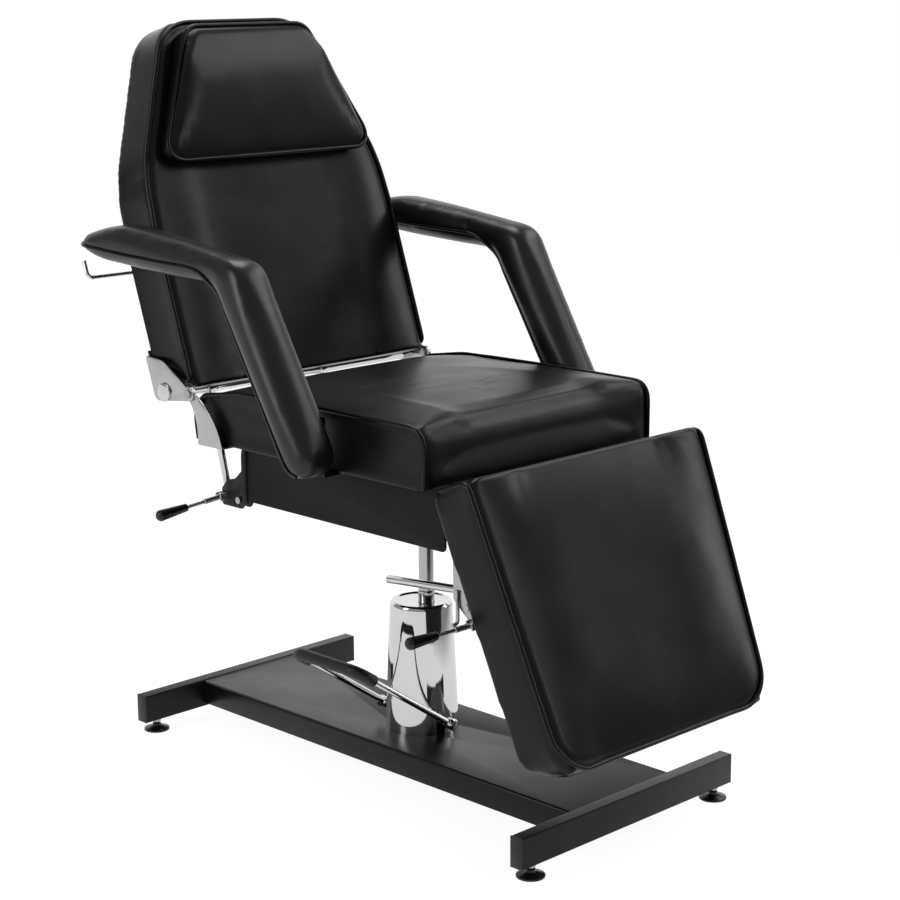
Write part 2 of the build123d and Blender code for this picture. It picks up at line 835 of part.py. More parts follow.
def back_flange():
    """Tab of an upper plate that lies on the rear of the back board."""
    rear = back_face - back_thickness
    foot = back_foot + back_foot_slope
    inner = upper_inner - back_flange_width
    tab = block(inner, upper_inner, foot, foot + back_flange_height, rear - hinge_sheet, rear)
    for x, y in back_screw_places():
        tab -= bar_z(rear - hinge_sheet - overrun, rear + overrun, x, y, flange_screw_radius + running_fit)
    return tab


def hinge_pin():
    """Right-hand pivot bolt of the backrest."""
    tail = hinge_inner - hinge_head
    pin = bar_x(tail, upper_outer, back_pivot_y, back_pivot_z, hinge_pin_radius)
    pin += bar_x(upper_outer + plate_gap, upper_outer + plate_gap + hinge_head, back_pivot_y,
                 back_pivot_z, hinge_head_radius)
    pin += bar_x(upper_outer, upper_outer + plate_gap, back_pivot_y, back_pivot_z, hinge_pin_radius)
    nut = bar_x(tail, hinge_inner, back_pivot_y, back_pivot_z, hinge_head_radius - hinge_head / 2)
    return pin + nut


def flange_screw_places():
    """Screws of a lower plate's flange, right-hand side."""
    middle = (flange_inner + hinge_inner) / 2 - flange_screw_head
    first = back_pivot_y - lower_plate_foot_front
    last = back_pivot_y - lower_plate_foot_rear
    step = (last - first) / 4
    return [(middle, first + step), (middle, last - step)]


def bracket_screw_places():
    """Screws of an armrest bracket's flange, right-hand side."""
    middle = (flange_inner + hinge_inner) / 2 - flange_screw_head
    step = arm_bracket_width / 4
    return [(middle, arm_bracket_y - step), (middle, arm_bracket_y + step)]


def back_screw_places():
    """Screws of an upper plate's flange in the backrest's axes."""
    y = back_foot + back_foot_slope + back_screw_rise
    inner = upper_inner - back_flange_width
    return [(inner + back_flange_width / 5, y), (inner + back_flange_width / 2, y)]


def screw(length):
    """Round-headed screw pointing up, its head's top at z = 0."""
    head = bar_z(-flange_screw_head_height, 0, 0, 0, flange_screw_head)
    return head + bar_z(0, length, 0, 0, flange_screw_radius)


# Armrests
def arm_face():
    """Side view of a boomerang armrest."""
    return outline((arm_tip_y, arm_tip_z, arm_tip_round),
                   (arm_crest_y, arm_crest_z, arm_crest_round),
                   (arm_elbow_y, arm_elbow_z, arm_elbow_round),
                   (arm_foot_front_y, arm_foot_front_z, arm_foot_round),
                   (arm_foot_rear_y, arm_foot_rear_z, arm_foot_round),
                   (arm_crook_y, arm_crook_z, arm_crook_round),
                   (arm_under_y, arm_under_z, arm_under_round))


def armrest():
    """Right-hand padded armrest with its edges taken off."""
    pad = side_plate(arm_face(), arm_inner, arm_inner + arm_width)
    rims = pad.faces().filter_by(Axis.X).edges()
    pad = chamfer(rims, arm_edge_round)
    for y, z in arm_bolt_places():
        pad -= bar_x(arm_inner - overrun, arm_inner + arm_bolt_depth, y, z, arm_bolt_radius + running_fit)
    return pad


def arm_bolt_places():
    """Bolts from the bracket into the armrest's foot."""
    return [(arm_bracket_y - arm_bolt_lean, arm_bolt_low),
            (arm_bracket_y, arm_bolt_high)]


def arm_bracket():
    """Right-hand angle bracket between the seat board and the armrest."""
    half = arm_bracket_width / 2
    inner = arm_inner - arm_bracket_sheet
    foot = seat_underside - arm_bracket_sheet
    front, rear = arm_bracket_y - half, arm_bracket_y + half
    upright = block(inner, arm_inner, front, rear, foot, arm_bracket_top)
    flange = block(flange_inner, inner, front, rear, foot, seat_underside)
    for y, z in arm_bolt_places():
        upright -= bar_x(inner - overrun, arm_inner + overrun, y, z, arm_bolt_radius + running_fit)
    for x, y in bracket_screw_places():
        flange -= bar_z(foot - overrun, seat_underside + overrun, x, y, flange_screw_radius + running_fit)
    return upright + flange


def arm_bolt(y, z):
    """Bolt through the bracket, head on the seat's side."""
    inner = arm_inner - arm_bracket_sheet
    head = bar_x(inner - arm_bolt_head, inner, y, z, arm_bolt_head_radius)
    return head + bar_x(inner, arm_inner + arm_bolt_depth, y, z, arm_bolt_radius)


# Backrest
def back_plan(grow):
    """Front view of the backrest, every edge moved out by grow."""
    return mirrored_outline((back_half_width + grow, back_foot - grow, back_foot_round),
                            (back_half_width + grow, back_waist, back_waist_round),
                            (back_neck_half + grow, back_neck, back_neck_round),
                            (back_crown_half + grow, back_top + grow, back_top_round))


def back_cushion_form():
    """Backrest before the board's pocket is cut."""
    rear = back_face - back_thickness
    profile = outline((back_foot, back_face, back_edge_round),
                      (back_foot, back_face - back_foot_flat, back_edge_round),
                      (back_foot + back_foot_slope, rear, back_rear_round),
                      (back_rear_top, rear, back_rear_round),
                      (back_face_top, back_face, back_edge_round))
    section = padded_section(back_half_width, back_face - bolster_crown, rear, back_dip - bolster_crown)
    return cushion(back_plan(0), profile, section, back_top)


def back_board_face(grow):
    """Front view of the back board."""
    foot = back_foot + back_foot_slope + seat_edge_round - grow
    half = back_half_width - board_inset + grow
    return mirrored_outline((half, foot, board_round),
                            (half, back_waist, back_waist_round),
                            (back_neck_half - board_inset + grow, back_neck, back_neck_round),
                            (back_crown_half - board_inset + grow, back_top - board_inset + grow,
                             back_top_round - board_inset))


def back_board():
    """Board behind the back cushion, in the chair's axes."""
    rear = back_face - back_thickness
    board = extrude(Pos(0, 0, rear) * back_board_face(0), board_sheet)
    for x, y in back_screw_places():
        for side in (-1, 1):
            board -= bar_z(rear - overrun, rear + flange_screw_grip, side * x, y,
                           flange_screw_radius + running_fit)
    return back_frame(board)


def back_cushion():
    """Backrest with its board's pocket."""
    rear = back_face - back_thickness
    pocket = extrude(Pos(0, 0, rear - overrun) * back_board_face(seat_gap),
                     board_sheet + seat_gap + overrun)
    return back_frame(back_cushion_form() - pocket)


def pillow():
    """Head pillow that lies against the backrest."""
    plan = mirrored_outline((pillow_foot_half, pillow_foot - overrun, pillow_foot_round),
                            (pillow_top_half, pillow_top, pillow_top_round))
    face = back_face + pillow_rise
    crest = face + pillow_crown
    middle = (pillow_foot + pillow_top) / 2
    low = (pillow_foot, face - pillow_tuck)
    high = (pillow_top + overrun, face)
    rest = Polyline(high, (pillow_top + overrun, 0), (pillow_foot + pillow_tuck, 0), low)
    profile = make_face(Curve() + [ThreePointArc(low, (middle, crest), high), rest])
    edge = face - pillow_tuck
    half = pillow_foot_half + overrun
    side = ThreePointArc((half, edge), (0, crest + pillow_crown), (-half, edge))
    flat = back_half_width - bolster_width
    rear = Polyline((-half, edge), (-half, back_face), (-flat, back_face),
                    (-flat, back_face - back_dip), (flat, back_face - back_dip), (flat, back_face),
                    (half, back_face), (half, edge))
    section = make_face(Curve() + [side, rear])
    return back_frame(cushion(plan, profile, section, back_top))


def back_crossbar():
    """Tube across the chair that the rods hang on."""
    bar = bar_x(-upper_outer, upper_outer, crossbar_y, crossbar_z, crossbar_radius)
    for side in (-1, 1):
        x0, x1 = sorted((side * upper_outer, side * (upper_outer + crossbar_flange)))
        bar += bar_x(x0, x1, crossbar_y, crossbar_z, crossbar_flange_radius)
    return bar


def roll_axes(shape):
    """From the roll bar's plane behind the board to the chair's axes."""
    back = back_face - back_thickness - roll_standoff
    return back_frame(Pos(0, roll_along, back) * shape)


def roll_bar():
    """Wire bar with turned-up ends."""
    path = FilletPolyline((-roll_half, roll_tip), (-roll_half, 0), (roll_half, 0), (roll_half, roll_tip),
                          radius=roll_bend)
    start = Plane(path @ 0, z_dir=path % 0)
    return roll_axes(sweep(start * Circle(roll_wire), path))


def roll_bracket(x):
    """Stud with a round pad that holds the bar off the board."""
    stud = bar_z(roll_wire, roll_standoff - roll_pad, x, 0, roll_wire)
    stud -= bar_x(x - roll_pad_radius, x + roll_pad_radius, 0, 0, roll_wire)
    pad = bar_z(roll_standoff - roll_pad, roll_standoff, x, 0, roll_pad_radius)
    return roll_axes(stud + pad)


# Reclining rods and clamps
def back_rod(x):
    """Rod that hangs on the crossbar and runs down through its clamp."""
    half = rod_eye_width / 2
    eye = bar_x(x - half, x + half, 0, 0, rod_eye_radius)
    rod = bar_z(-back_rod_length, -crossbar_radius, x, 0, back_rod_radius)
    bore = bar_x(x - rod_eye_width, x + rod_eye_width, 0, 0, crossbar_radius + running_fit)
    return Pos(0, crossbar_y, crossbar_z) * Rot(-back_rod_lean_deg, 0, 0) * (eye + rod - bore)


def cheek_pair(face, x, y, z):
    """Two cheeks either side of a rod at x."""
    left = side_plate(face, x - cheek_outer, x - cheek_inner)
    right = side_plate(face, x + cheek_inner, x + cheek_outer)
    return Pos(0, y, z) * (left + right)


def back_cheek_face():
    """Cheek of a rear clamp in (Y, Z) about the clamp's centre."""
    tube_y = panel_rear - clamp_y
    tube_z = tube_top - clamp_z
    return outline((cheek_half, -cheek_depth, cheek_round), (cheek_half, cheek_depth, cheek_round),
                   (cheek_lug_y, cheek_lug_z, cheek_round), (-cheek_back_y, cheek_back_z, cheek_round),
                   (tube_y + cheek_arm, tube_z - cross_tube, cheek_round),
                   (tube_y + cheek_arm, tube_z, 0), (tube_y, tube_z, 0),
                   (tube_y, tube_z - 2 * cross_tube, cheek_round),
                   (-2 * cheek_half, -cheek_depth, cheek_round))


def cheek_bore(y, z, side):
    """Hole for a clamp bolt."""
    return bar_x(side - 2 * cheek_outer, side + 2 * cheek_outer, y, z, clamp_bolt_radius + running_fit)


def rear_clamp(side):
    """Cheeks of a rear rod with the spacer that joins them."""
    pair = cheek_pair(back_cheek_face(), side, clamp_y, clamp_z)
    spacer = block(side - cheek_inner, side + cheek_inner, panel_rear, panel_rear + cheek_arm - seat_gap,
                   tube_top - cross_tube, tube_top)
    return pair + spacer - cheek_bore(clamp_y - clamp_bolt_setback, clamp_z, side)


def lever_ears(y, z):
    """Two ears on the outer cheek that hold a lever's pin."""
    outer = -rod_side - cheek_outer
    pin_x = outer - lever_pivot
    ears = None
    for side in (-1, 1):
        near = y + side * (lever_eye_width / 2 + seat_gap)
        y0, y1 = sorted((near, near + side * ear_sheet))
        ear = block(outer - ear_reach, outer, y0, y1, z - ear_half, z + ear_half)
        ear -= bar_y(y0 - overrun, y1 + overrun, pin_x, z, lever_pin)
        ears = ear if ears is None else ears + ear
    return ears


def leg_clamp_center():
    """Point on the leg rod as far from the leg pivot as the rod's own pivot."""
    turn = math.radians(leg_rod_rise_deg)
    along_y, along_z = math.cos(turn), -math.sin(turn)
    to_y, to_z = leg_pivot_y - leg_rod_pivot_y, leg_pivot_z - leg_rod_pivot_z
    reach = 2 * (to_y * along_y + to_z * along_z)
    return leg_rod_pivot_y + reach * along_y, leg_rod_pivot_z + reach * along_z


def leg_cheek_face():
    """Cheek of the front clamp in (Y, Z) about the clamp's centre."""
    y, z = leg_clamp_center()
    tube_y = -panel_front - y
    tube_z = tube_top - z
    return outline((tube_y, tube_z, 0), (tube_y - cheek_arm, tube_z, 0),
                   (-leg_cheek_half, cheek_half, cheek_round),
                   (-leg_ear_reach - ear_half, -leg_ear_drop + ear_half, cheek_round),
                   (-leg_ear_reach - ear_half, -leg_ear_drop - ear_half, cheek_round),
                   (-leg_ear_reach + ear_half, -leg_ear_drop - ear_half, cheek_round),
                   (leg_cheek_half, -cheek_depth, cheek_round),
                   (leg_cheek_half, cheek_half, cheek_round),
                   (tube_y, tube_z - 2 * cross_tube, 0))


def leg_clamp():
    """Front clamp with its spacer, lever ears and welded hook."""
    y, z = leg_clamp_center()
    pair = cheek_pair(leg_cheek_face(), -rod_side, y, z)
    spacer = block(-rod_side - cheek_inner, -rod_side + cheek_inner, -panel_front - cheek_arm + cheek_gap,
                   -panel_front, tube_top - cross_tube, tube_top)
    bore = cheek_bore(y - leg_ear_reach / 2, z - leg_ear_drop / 2, -rod_side)
    clamp = pair + spacer + lever_ears(leg_lever_y, leg_lever_z) - bore
    return clamp + clamp_hook()


def back_clamp():
    """Rear clamp with its lever ears."""
    return rear_clamp(-rod_side) + lever_ears(back_lever_y, back_lever_z)


def clamp_bolt(y, z, side):
    """Bolt that squeezes a pair of cheeks."""
    bolt = bar_x(side - cheek_outer, side + cheek_outer, y, z, clamp_bolt_radius)
    for way in (-1, 1):
        face = side + way * cheek_outer
        x0, x1 = sorted((face, face + way * clamp_bolt_head))
        bolt += bar_x(x0, x1, y, z, clamp_bolt_head_radius)
    return bolt


def lever_pin_at(y, z):
    """Pin across a lever's ears."""
    pin_x = -rod_side - cheek_outer - lever_pivot
    half = lever_eye_width / 2 + seat_gap + ear_sheet
    return bar_y(y - half, y + half, pin_x, z, lever_pin)


def lever_axes(y, z, droop_deg, shape):
    """From a lever's own axes, x outwards from its pin, to the chair."""
    pin_x = -rod_side - cheek_outer - lever_pivot
    return Pos(pin_x, y, z) * Rot(0, 180 - droop_deg, 0) * shape


def lever_arm():
    """Eye, tube and thin rod of a clamp lever."""
    half = lever_eye_width / 2
    rod_end = lever_length - grip_length + grip_socket
    arm = bar_y(-half, half, 0, 0, lever_eye)
    arm += bar_x(0, lever_tube_length, 0, 0, lever_tube)
    arm += bar_x(0, rod_end, 0, 0, lever_rod)
    return arm - bar_y(-lever_eye_width, lever_eye_width, 0, 0, lever_pin + running_fit)


def lever_grip():
    """Tapered grip with a rounded-off end."""
    start = lever_length - grip_length
    step = grip_radius / 2
    grip = turned((0, 0), (grip_foot_radius, 0), (grip_radius, grip_length - 2 * step),
                  (grip_radius, grip_length - step), (step, grip_length), (0, grip_length))
    grip -= bar_z(-overrun, grip_socket, 0, 0, lever_rod + running_fit)
    return Pos(start, 0, 0) * Rot(0, 90, 0) * grip


def clamp_hook():
    """Bent wire on the front clamp, turned outwards at its foot."""
    x = -rod_side - cheek_outer - hook_radius
    y = leg_lever_y + hook_setback
    top = leg_clamp_center()[1] + hook_radius
    low = leg_lever_z - lever_tube - hook_radius
    path = FilletPolyline((x, y, top), (x, y, low), (x - hook_length, y, low), radius=hook_bend)
    start = Plane(path @ 0, z_dir=path % 0)
    wire = sweep(start * Circle(hook_radius), path)
    weld = block(x, x + hook_radius, y - hook_radius, y + hook_radius, top - ear_reach, top)
    return wire + weld


# Leg rest
def leg_plan(grow):
    """Front view of the leg rest."""
    return mirrored_outline((leg_foot_half + grow, -leg_rear_foot - grow, leg_foot_round),
                            (leg_half_width + grow, leg_top + grow, leg_top_round))


def leg_cushion():
    """Leg rest cushion with its board's pocket."""
    rear = leg_face - leg_thickness
    profile = outline((leg_top, leg_face, back_edge_round), (leg_top, rear, seat_edge_round),
                      (-leg_rear_foot, rear, leg_rear_round), (-leg_foot, leg_face, back_edge_round))
    section = padded_section(leg_half_width, leg_face - bolster_crown, rear, leg_dip - bolster_crown)
    form = cushion(leg_plan(0), profile, section, leg_rear_foot)
    pocket = extrude(Pos(0, 0, rear - overrun) * leg_board_face(seat_gap), board_sheet + seat_gap + overrun)
    return leg_frame(form - pocket)


def leg_board_face(grow):
    """Front view of the leg rest's board."""
    foot = -leg_rear_foot + leg_rear_round + board_inset - grow
    top = leg_top - board_inset + grow
    return mirrored_outline((leg_foot_half - board_inset + grow, foot, board_round),
                            (leg_half_width - 2 * board_inset + grow, top, board_round))


def leg_board():
    """Board behind the leg cushion."""
    rear = leg_face - leg_thickness
    return leg_frame(extrude(Pos(0, 0, rear) * leg_board_face(0), board_sheet))


def knuckle_run(x0, x1):
    """Hinge knuckle round the leg pivot's axis."""
    tube = bar_x(x0, x1, 0, 0, leg_knuckle)
    return tube - bar_x(x0 - overrun, x1 + overrun, 0, 0, leg_hinge_pin + running_fit)


def seat_leaf(side):
    """Leaf of a leg hinge under the seat board, with two outer knuckles."""
    third = leg_hinge_length / 3
    left = side * leg_hinge_side - leg_hinge_length / 2
    right = left + leg_hinge_length
    leaf = block(left, right, leg_knuckle + plate_gap, leg_leaf_width, -leg_leaf, 0)
    for x0, x1 in ((left, left + third), (right - third, right)):
        web = block(x0, x1, 0, leg_leaf_width / 2, -leg_leaf, 0)
        web -= bar_x(x0 - overrun, x1 + overrun, 0, 0, leg_hinge_pin + running_fit)
        leaf = leaf + web + knuckle_run(x0, x1)
    return Pos(0, leg_pivot_y, leg_pivot_z) * leaf


def leg_leaf_shape(side):
    """Leaf of a leg hinge on the leg board, with the middle knuckle."""
    third = leg_hinge_length / 3
    x0 = side * leg_hinge_side - leg_hinge_length / 2 + third + plate_gap
    x1 = x0 + third - 2 * plate_gap
    rear = leg_face - leg_thickness
    leaf = block(x0, x1, -leg_leaf_width, -leg_knuckle, rear - leg_leaf, rear)
    web = block(x0, x1, -leg_knuckle - leg_leaf, 0, rear - leg_leaf, rear - plate_gap)
    web -= bar_x(x0 - overrun, x1 + overrun, 0, 0, leg_hinge_pin + running_fit)
    wide = block(side * leg_hinge_side - leg_hinge_length / 2, side * leg_hinge_side + leg_hinge_length / 2,
                 -leg_leaf_width, -2 * leg_knuckle, rear - leg_leaf, rear)
    return leg_frame(leaf + web + wide + knuckle_run(x0, x1))


def leg_hinge_pin_at(side):
    """Pin of a leg hinge."""
    left = side * leg_hinge_side - leg_hinge_length / 2
    return bar_x(left, left + leg_hinge_length, leg_pivot_y, leg_pivot_z, leg_hinge_pin)


def rod_pivot_local():
    """Leg rod's pivot in the leg rest's own axes."""
    turn = math.radians(leg_rest_deg)
    y, z = leg_rod_pivot_y - leg_pivot_y, leg_rod_pivot_z - leg_pivot_z
    return y * math.cos(turn) + z * math.sin(turn), -y * math.sin(turn) + z * math.cos(turn)


def leg_rod_bracket():
    """Foot plate with two ears that hold the leg rod's pin."""
    y, z = rod_pivot_local()
    rear = leg_face - leg_thickness
    half = 2 * leg_rod_eye
    bracket = block(-rod_side - half, -rod_side + half, y - half, y + half, rear - cheek_sheet, rear)
    top = rear - cheek_sheet
    low = z - leg_rod_eye
    face = outline((y - leg_rod_eye, top, 0), (y + leg_rod_eye, top, 0),
                   (y + leg_rod_eye, low, cheek_round), (y - leg_rod_eye, low, cheek_round))
    for side in (-1, 1):
        x0, x1 = sorted((-rod_side + side * cheek_inner, -rod_side + side * cheek_outer))
        bracket += side_plate(face, x0, x1)
    bracket -= bar_x(-rod_side - half, -rod_side + half, y, z, leg_rod_pin)
    return leg_frame(bracket)


def leg_rod_pin_shape():
    """Pin through the bracket's ears."""
    return bar_x(-rod_side - cheek_outer, -rod_side + cheek_outer, leg_rod_pivot_y, leg_rod_pivot_z,
                 leg_rod_pin)


def leg_rod():
    """Rod from the leg rest back through the front clamp."""
    half = leg_rod_radius - cheek_gap
    eye = bar_x(-rod_side - half, -rod_side + half, 0, 0, leg_rod_eye)
    rod = bar_y(0, leg_rod_length, -rod_side, 0, leg_rod_radius)
    bore = bar_x(-rod_side - leg_rod_eye, -rod_side + leg_rod_eye, 0, 0, leg_rod_pin + running_fit)
    return Pos(0, leg_rod_pivot_y, leg_rod_pivot_z) * Rot(-leg_rod_rise_deg, 0, 0) * (eye + rod - bore)


# Assembly
def group(*shapes):
    """Several separate solids in one node."""
    return Compound(children=list(shapes))


def base_nodes():
    """The standing frame and what is bolted to it."""
    plugs = [end_plug(side, reach) for side in (-1, 1) for reach in (-front_beam_reach, rear_beam_reach)]
    nuts = [Pos(x, y, 0) * lock_nut() for x, y in foot_places()]
    bolts = [Pos(x, y, 0) * pump_bolt() for x, y in bolt_places()]
    names = ["foot_front_left", "foot_front_right", "foot_rear_left", "foot_rear_right"]
    nodes = {name: Pos(x, y, 0) * foot() for name, (x, y) in zip(names, foot_places())}
    nodes["base_front_beam"] = beam(-front_beam_reach)
    nodes["base_rear_beam"] = beam(rear_beam_reach)
    nodes["beam_end_plugs"] = group(*plugs)
    nodes["base_plate"] = base_plate()
    nodes["foot_lock_nuts"] = group(*nuts)
    nodes["pump_cylinder"] = pump_cylinder()
    nodes["pump_cover"] = pump_cover()
    nodes["pump_gland"] = pump_gland()
    nodes["pump_bolts"] = group(*bolts)
    return nodes


def pedal_nodes():
    """The foot pedal."""
    caps = [pedal_cap(-1, -pedal_front_reach), pedal_cap(1, pedal_rear_reach)]
    return {"pedal_shaft": pedal_shaft(), "pedal_frame": pedal_frame(),
            "pedal_sleeve": pedal_sleeve(), "pedal_end_caps": group(*caps)}


def swivel_nodes():
    """Ram, hub and the turning frame under the seat."""
    return {"piston_rod": piston_rod(), "swivel_hub": swivel_hub(), "swivel_nut": swivel_nut(),
            "bearing_housing": bearing_housing(),
            "swivel_rails": group(swivel_rail(-rail_spacing / 2), swivel_rail(rail_spacing / 2)),
            "cross_tubes": group(cross_tube_at(-panel_front + cross_tube / 2),
                                 cross_tube_at(panel_rear - cross_tube / 2)),
            "side_panel_right": side_panel(), "side_panel_left": mirror(side_panel(), Plane.YZ)}


def seat_nodes():
    """Seat, hinge plates and armrests."""
    bolts = [arm_bolt(y, z) for y, z in arm_bolt_places()]
    screws = [Pos(x, y, seat_underside - hinge_sheet) * screw(flange_screw_grip + hinge_sheet)
              for x, y in flange_screw_places()]
    screws += [Pos(x, y, seat_underside - arm_bracket_sheet) * screw(flange_screw_grip + arm_bracket_sheet)
               for x, y in bracket_screw_places()]
    bolts += [mirror(bolt, Plane.YZ) for bolt in bolts]
    screws += [mirror(item, Plane.YZ) for item in screws]
    pins = [hinge_pin(), mirror(hinge_pin(), Plane.YZ), leg_hinge_pin_at(-1), leg_hinge_pin_at(1)]
    return {"seat_board": seat_board(), "seat_cushion": seat_cushion(),
            "lower_hinge_right": lower_hinge(), "lower_hinge_left": mirror(lower_hinge(), Plane.YZ),
            "hinge_pins": group(*pins), "seat_screws": group(*screws),
            "armrest_right": armrest(), "armrest_left": mirror(armrest(), Plane.YZ),
            "armrest_brackets": both_sides(arm_bracket()), "armrest_bolts": group(*bolts),
            "leg_hinge_seat_leaves": group(seat_leaf(-1), seat_leaf(1))}


def back_nodes():
    """Everything that reclines."""
    rear = back_face - back_thickness - hinge_sheet
    screws = []
    for x, y in back_screw_places():
        for side in (-1, 1):
            screws.append(back_frame(Pos(side * x, y, rear) * screw(flange_screw_grip + hinge_sheet)))
    brackets = [roll_bracket(-roll_bracket_side), roll_bracket(roll_bracket_side)]
    return {"back_board": back_board(), "back_cushion": back_cushion(), "headrest_pillow": pillow(),
            "upper_hinge_right": upper_hinge(), "upper_hinge_left": mirror(upper_hinge(), Plane.YZ),
            "back_crossbar": back_crossbar(), "back_screws": group(*screws),
            "roll_bar": roll_bar(), "roll_brackets": group(*brackets)}


def mechanism_nodes():
    """Rods, clamps and levers."""
    leg_y, leg_z = leg_clamp_center()
    bolts = [clamp_bolt(clamp_y - clamp_bolt_setback, clamp_z, -rod_side),
             clamp_bolt(clamp_y - clamp_bolt_setback, clamp_z, guide_side),
             clamp_bolt(leg_y - leg_ear_reach / 2, leg_z - leg_ear_drop / 2, -rod_side),
             lever_pin_at(back_lever_y, back_lever_z), lever_pin_at(leg_lever_y, leg_lever_z)]
    return {"back_rods": group(back_rod(-rod_side), back_rod(guide_side)),
            "back_clamp": back_clamp(), "rod_guide": rear_clamp(guide_side), "leg_clamp": leg_clamp(),
            "clamp_bolts": group(*bolts), "leg_rod": leg_rod(),
            "back_lever_arm": lever_axes(back_lever_y, back_lever_z, back_lever_droop_deg, lever_arm()),
            "back_lever_grip": lever_axes(back_lever_y, back_lever_z, back_lever_droop_deg, lever_grip()),
            "leg_lever_arm": lever_axes(leg_lever_y, leg_lever_z, 0, lever_arm()),
            "leg_lever_grip": lever_axes(leg_lever_y, leg_lever_z, 0, lever_grip())}


def leg_nodes():
    """Everything that swings up with the leg rest."""
    return {"leg_board": leg_board(), "leg_cushion": leg_cushion(),
            "leg_hinge_leaves": group(leg_leaf_shape(-1), leg_leaf_shape(1)),
            "leg_rod_bracket": leg_rod_bracket(), "leg_rod_pin": leg_rod_pin_shape()}


def main():
    """Build every node and write it to its own file."""
    nodes = {}
    for part in (base_nodes, pedal_nodes, swivel_nodes, seat_nodes, back_nodes, mechanism_nodes, leg_nodes):
        nodes.update(part())
    for name, shape in nodes.items():
        export_step(Pos(0, -column_lead, 0) * shape, "parts/" + name + ".step")


main()
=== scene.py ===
import bpy
import json
import math
from mathutils import Euler, Matrix, Vector
from mathutils.kdtree import KDTree

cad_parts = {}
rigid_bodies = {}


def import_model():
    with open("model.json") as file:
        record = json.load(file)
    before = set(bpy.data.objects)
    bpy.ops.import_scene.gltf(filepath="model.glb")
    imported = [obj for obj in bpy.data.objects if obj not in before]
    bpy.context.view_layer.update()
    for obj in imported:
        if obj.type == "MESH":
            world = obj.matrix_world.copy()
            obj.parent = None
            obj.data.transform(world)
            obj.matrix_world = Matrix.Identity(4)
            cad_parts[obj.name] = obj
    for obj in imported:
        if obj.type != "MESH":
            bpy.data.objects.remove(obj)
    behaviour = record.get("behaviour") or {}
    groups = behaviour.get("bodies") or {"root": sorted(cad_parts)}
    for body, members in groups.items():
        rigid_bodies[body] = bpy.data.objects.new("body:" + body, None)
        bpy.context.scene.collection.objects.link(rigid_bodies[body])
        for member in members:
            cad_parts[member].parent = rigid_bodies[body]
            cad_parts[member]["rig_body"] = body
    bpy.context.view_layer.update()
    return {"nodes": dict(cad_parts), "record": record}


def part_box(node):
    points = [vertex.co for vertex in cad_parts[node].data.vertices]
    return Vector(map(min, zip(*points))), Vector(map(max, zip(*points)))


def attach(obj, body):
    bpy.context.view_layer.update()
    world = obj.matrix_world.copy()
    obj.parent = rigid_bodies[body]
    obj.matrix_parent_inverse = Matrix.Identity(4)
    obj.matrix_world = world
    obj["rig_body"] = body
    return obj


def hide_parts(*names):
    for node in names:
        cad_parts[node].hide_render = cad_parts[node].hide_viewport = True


# Reclining treatment chair: black upholstery on a chromed hydraulic column.
# Metres, +Z up, the sitter faces -Y, the same frame as the CAD.

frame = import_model()
parts = frame["nodes"]
cad_slots = {entry["node"]: entry["material_slot"] for entry in frame["record"]["subparts"]}

# Where the chair's main lines lie
column_lead = 0.013                       # column axis before the footprint's middle
back_pivot = Vector((0, 0.321, 0.776))
back_slope = math.radians(71.2)
leg_pivot = Vector((0, -0.351, 0.680))
leg_slope = math.radians(67.7)

# Cushions: half widths, and heights or lengths along their faces
seat_half = 0.310
seat_top = 0.796
back_wide, back_waist = 0.320, 0.328      # straight sides up to the waist
back_narrow, back_shoulder = 0.311, 0.451  # then the head's slope from the shoulder on
back_top = 0.760
back_face = 0.008                         # face of the backrest over its pivot line
leg_wide, leg_narrow = 0.321, 0.291       # leg rest at its head and at its foot
leg_foot = 0.540
leg_face = 0.1066
pillow_foot, pillow_top = 0.459, 0.731
arm_inner, arm_outer = 0.341, 0.414       # seams of the armrests
elbow_place = (0.165, 1.075)

# Upholstery
welt_radius = 0.0045
arm_welt_radius = 0.0032
welt_lift = 0.35                          # share of its radius that a welt stands off the cover
seam_keep = 0.60                          # how far a seam keeps to the cushion's sharp edge
tuck_depth = 0.0026                       # how far the cover is drawn in beside a welt
tuck_reach = 0.024
cover_voxel = 0.0070                      # mesh of a cover before it is blown up
arm_voxel = 0.0055
pillow_voxel = 0.0060
air_pressure = 4.0
air_frames = 20

# Metalwork
panel_rear = 0.15                         # the side panels' rear part starts here
panel_run = 0.022                         # and its rolled edge ends this much past the plain one
clamp_ears = -0.2289                      # ears of the clamps lie outside this line
plate_top = 0.0835
cover_middle = (0, 0.015 - column_lead)

# Camera, solved from the photograph
camera_place = (-2.90218, -3.00873, 1.59226)
camera_azimuth = math.radians(-44.712)
camera_elevation = math.radians(12.569)
camera_roll = math.radians(-0.340)
camera_lens = 85.95
camera_shift = (0.0024, -0.0010)


# Small tools
def only(piece):
    """Select one piece and nothing else."""
    bpy.ops.object.select_all(action="DESELECT")
    piece.select_set(True)
    bpy.context.view_layer.objects.active = piece


def open_mesh(piece):
    """Go into edit mode with the whole piece selected."""
    only(piece)
    bpy.ops.object.mode_set(mode="EDIT")
    bpy.ops.mesh.select_all(action="SELECT")


def close_mesh():
    """Leave edit mode."""
    bpy.ops.object.mode_set(mode="OBJECT")


def finish_with(piece, kind, **settings):
    """Add a modifier and apply it."""
    only(piece)
    modifier = piece.modifiers.new(kind.lower(), kind)
    for key, value in settings.items():
        setattr(modifier, key, value)
    bpy.ops.object.modifier_apply(modifier=modifier.name)


def settle(piece):
    """Put a piece's place into its mesh."""
    only(piece)
    bpy.ops.object.transform_apply(location=True, rotation=True, scale=True)


def smooth(piece, degrees=35):
    """Shade round faces as round and keep the edges."""
    only(piece)
    bpy.ops.object.shade_smooth_by_angle(angle=math.radians(degrees))


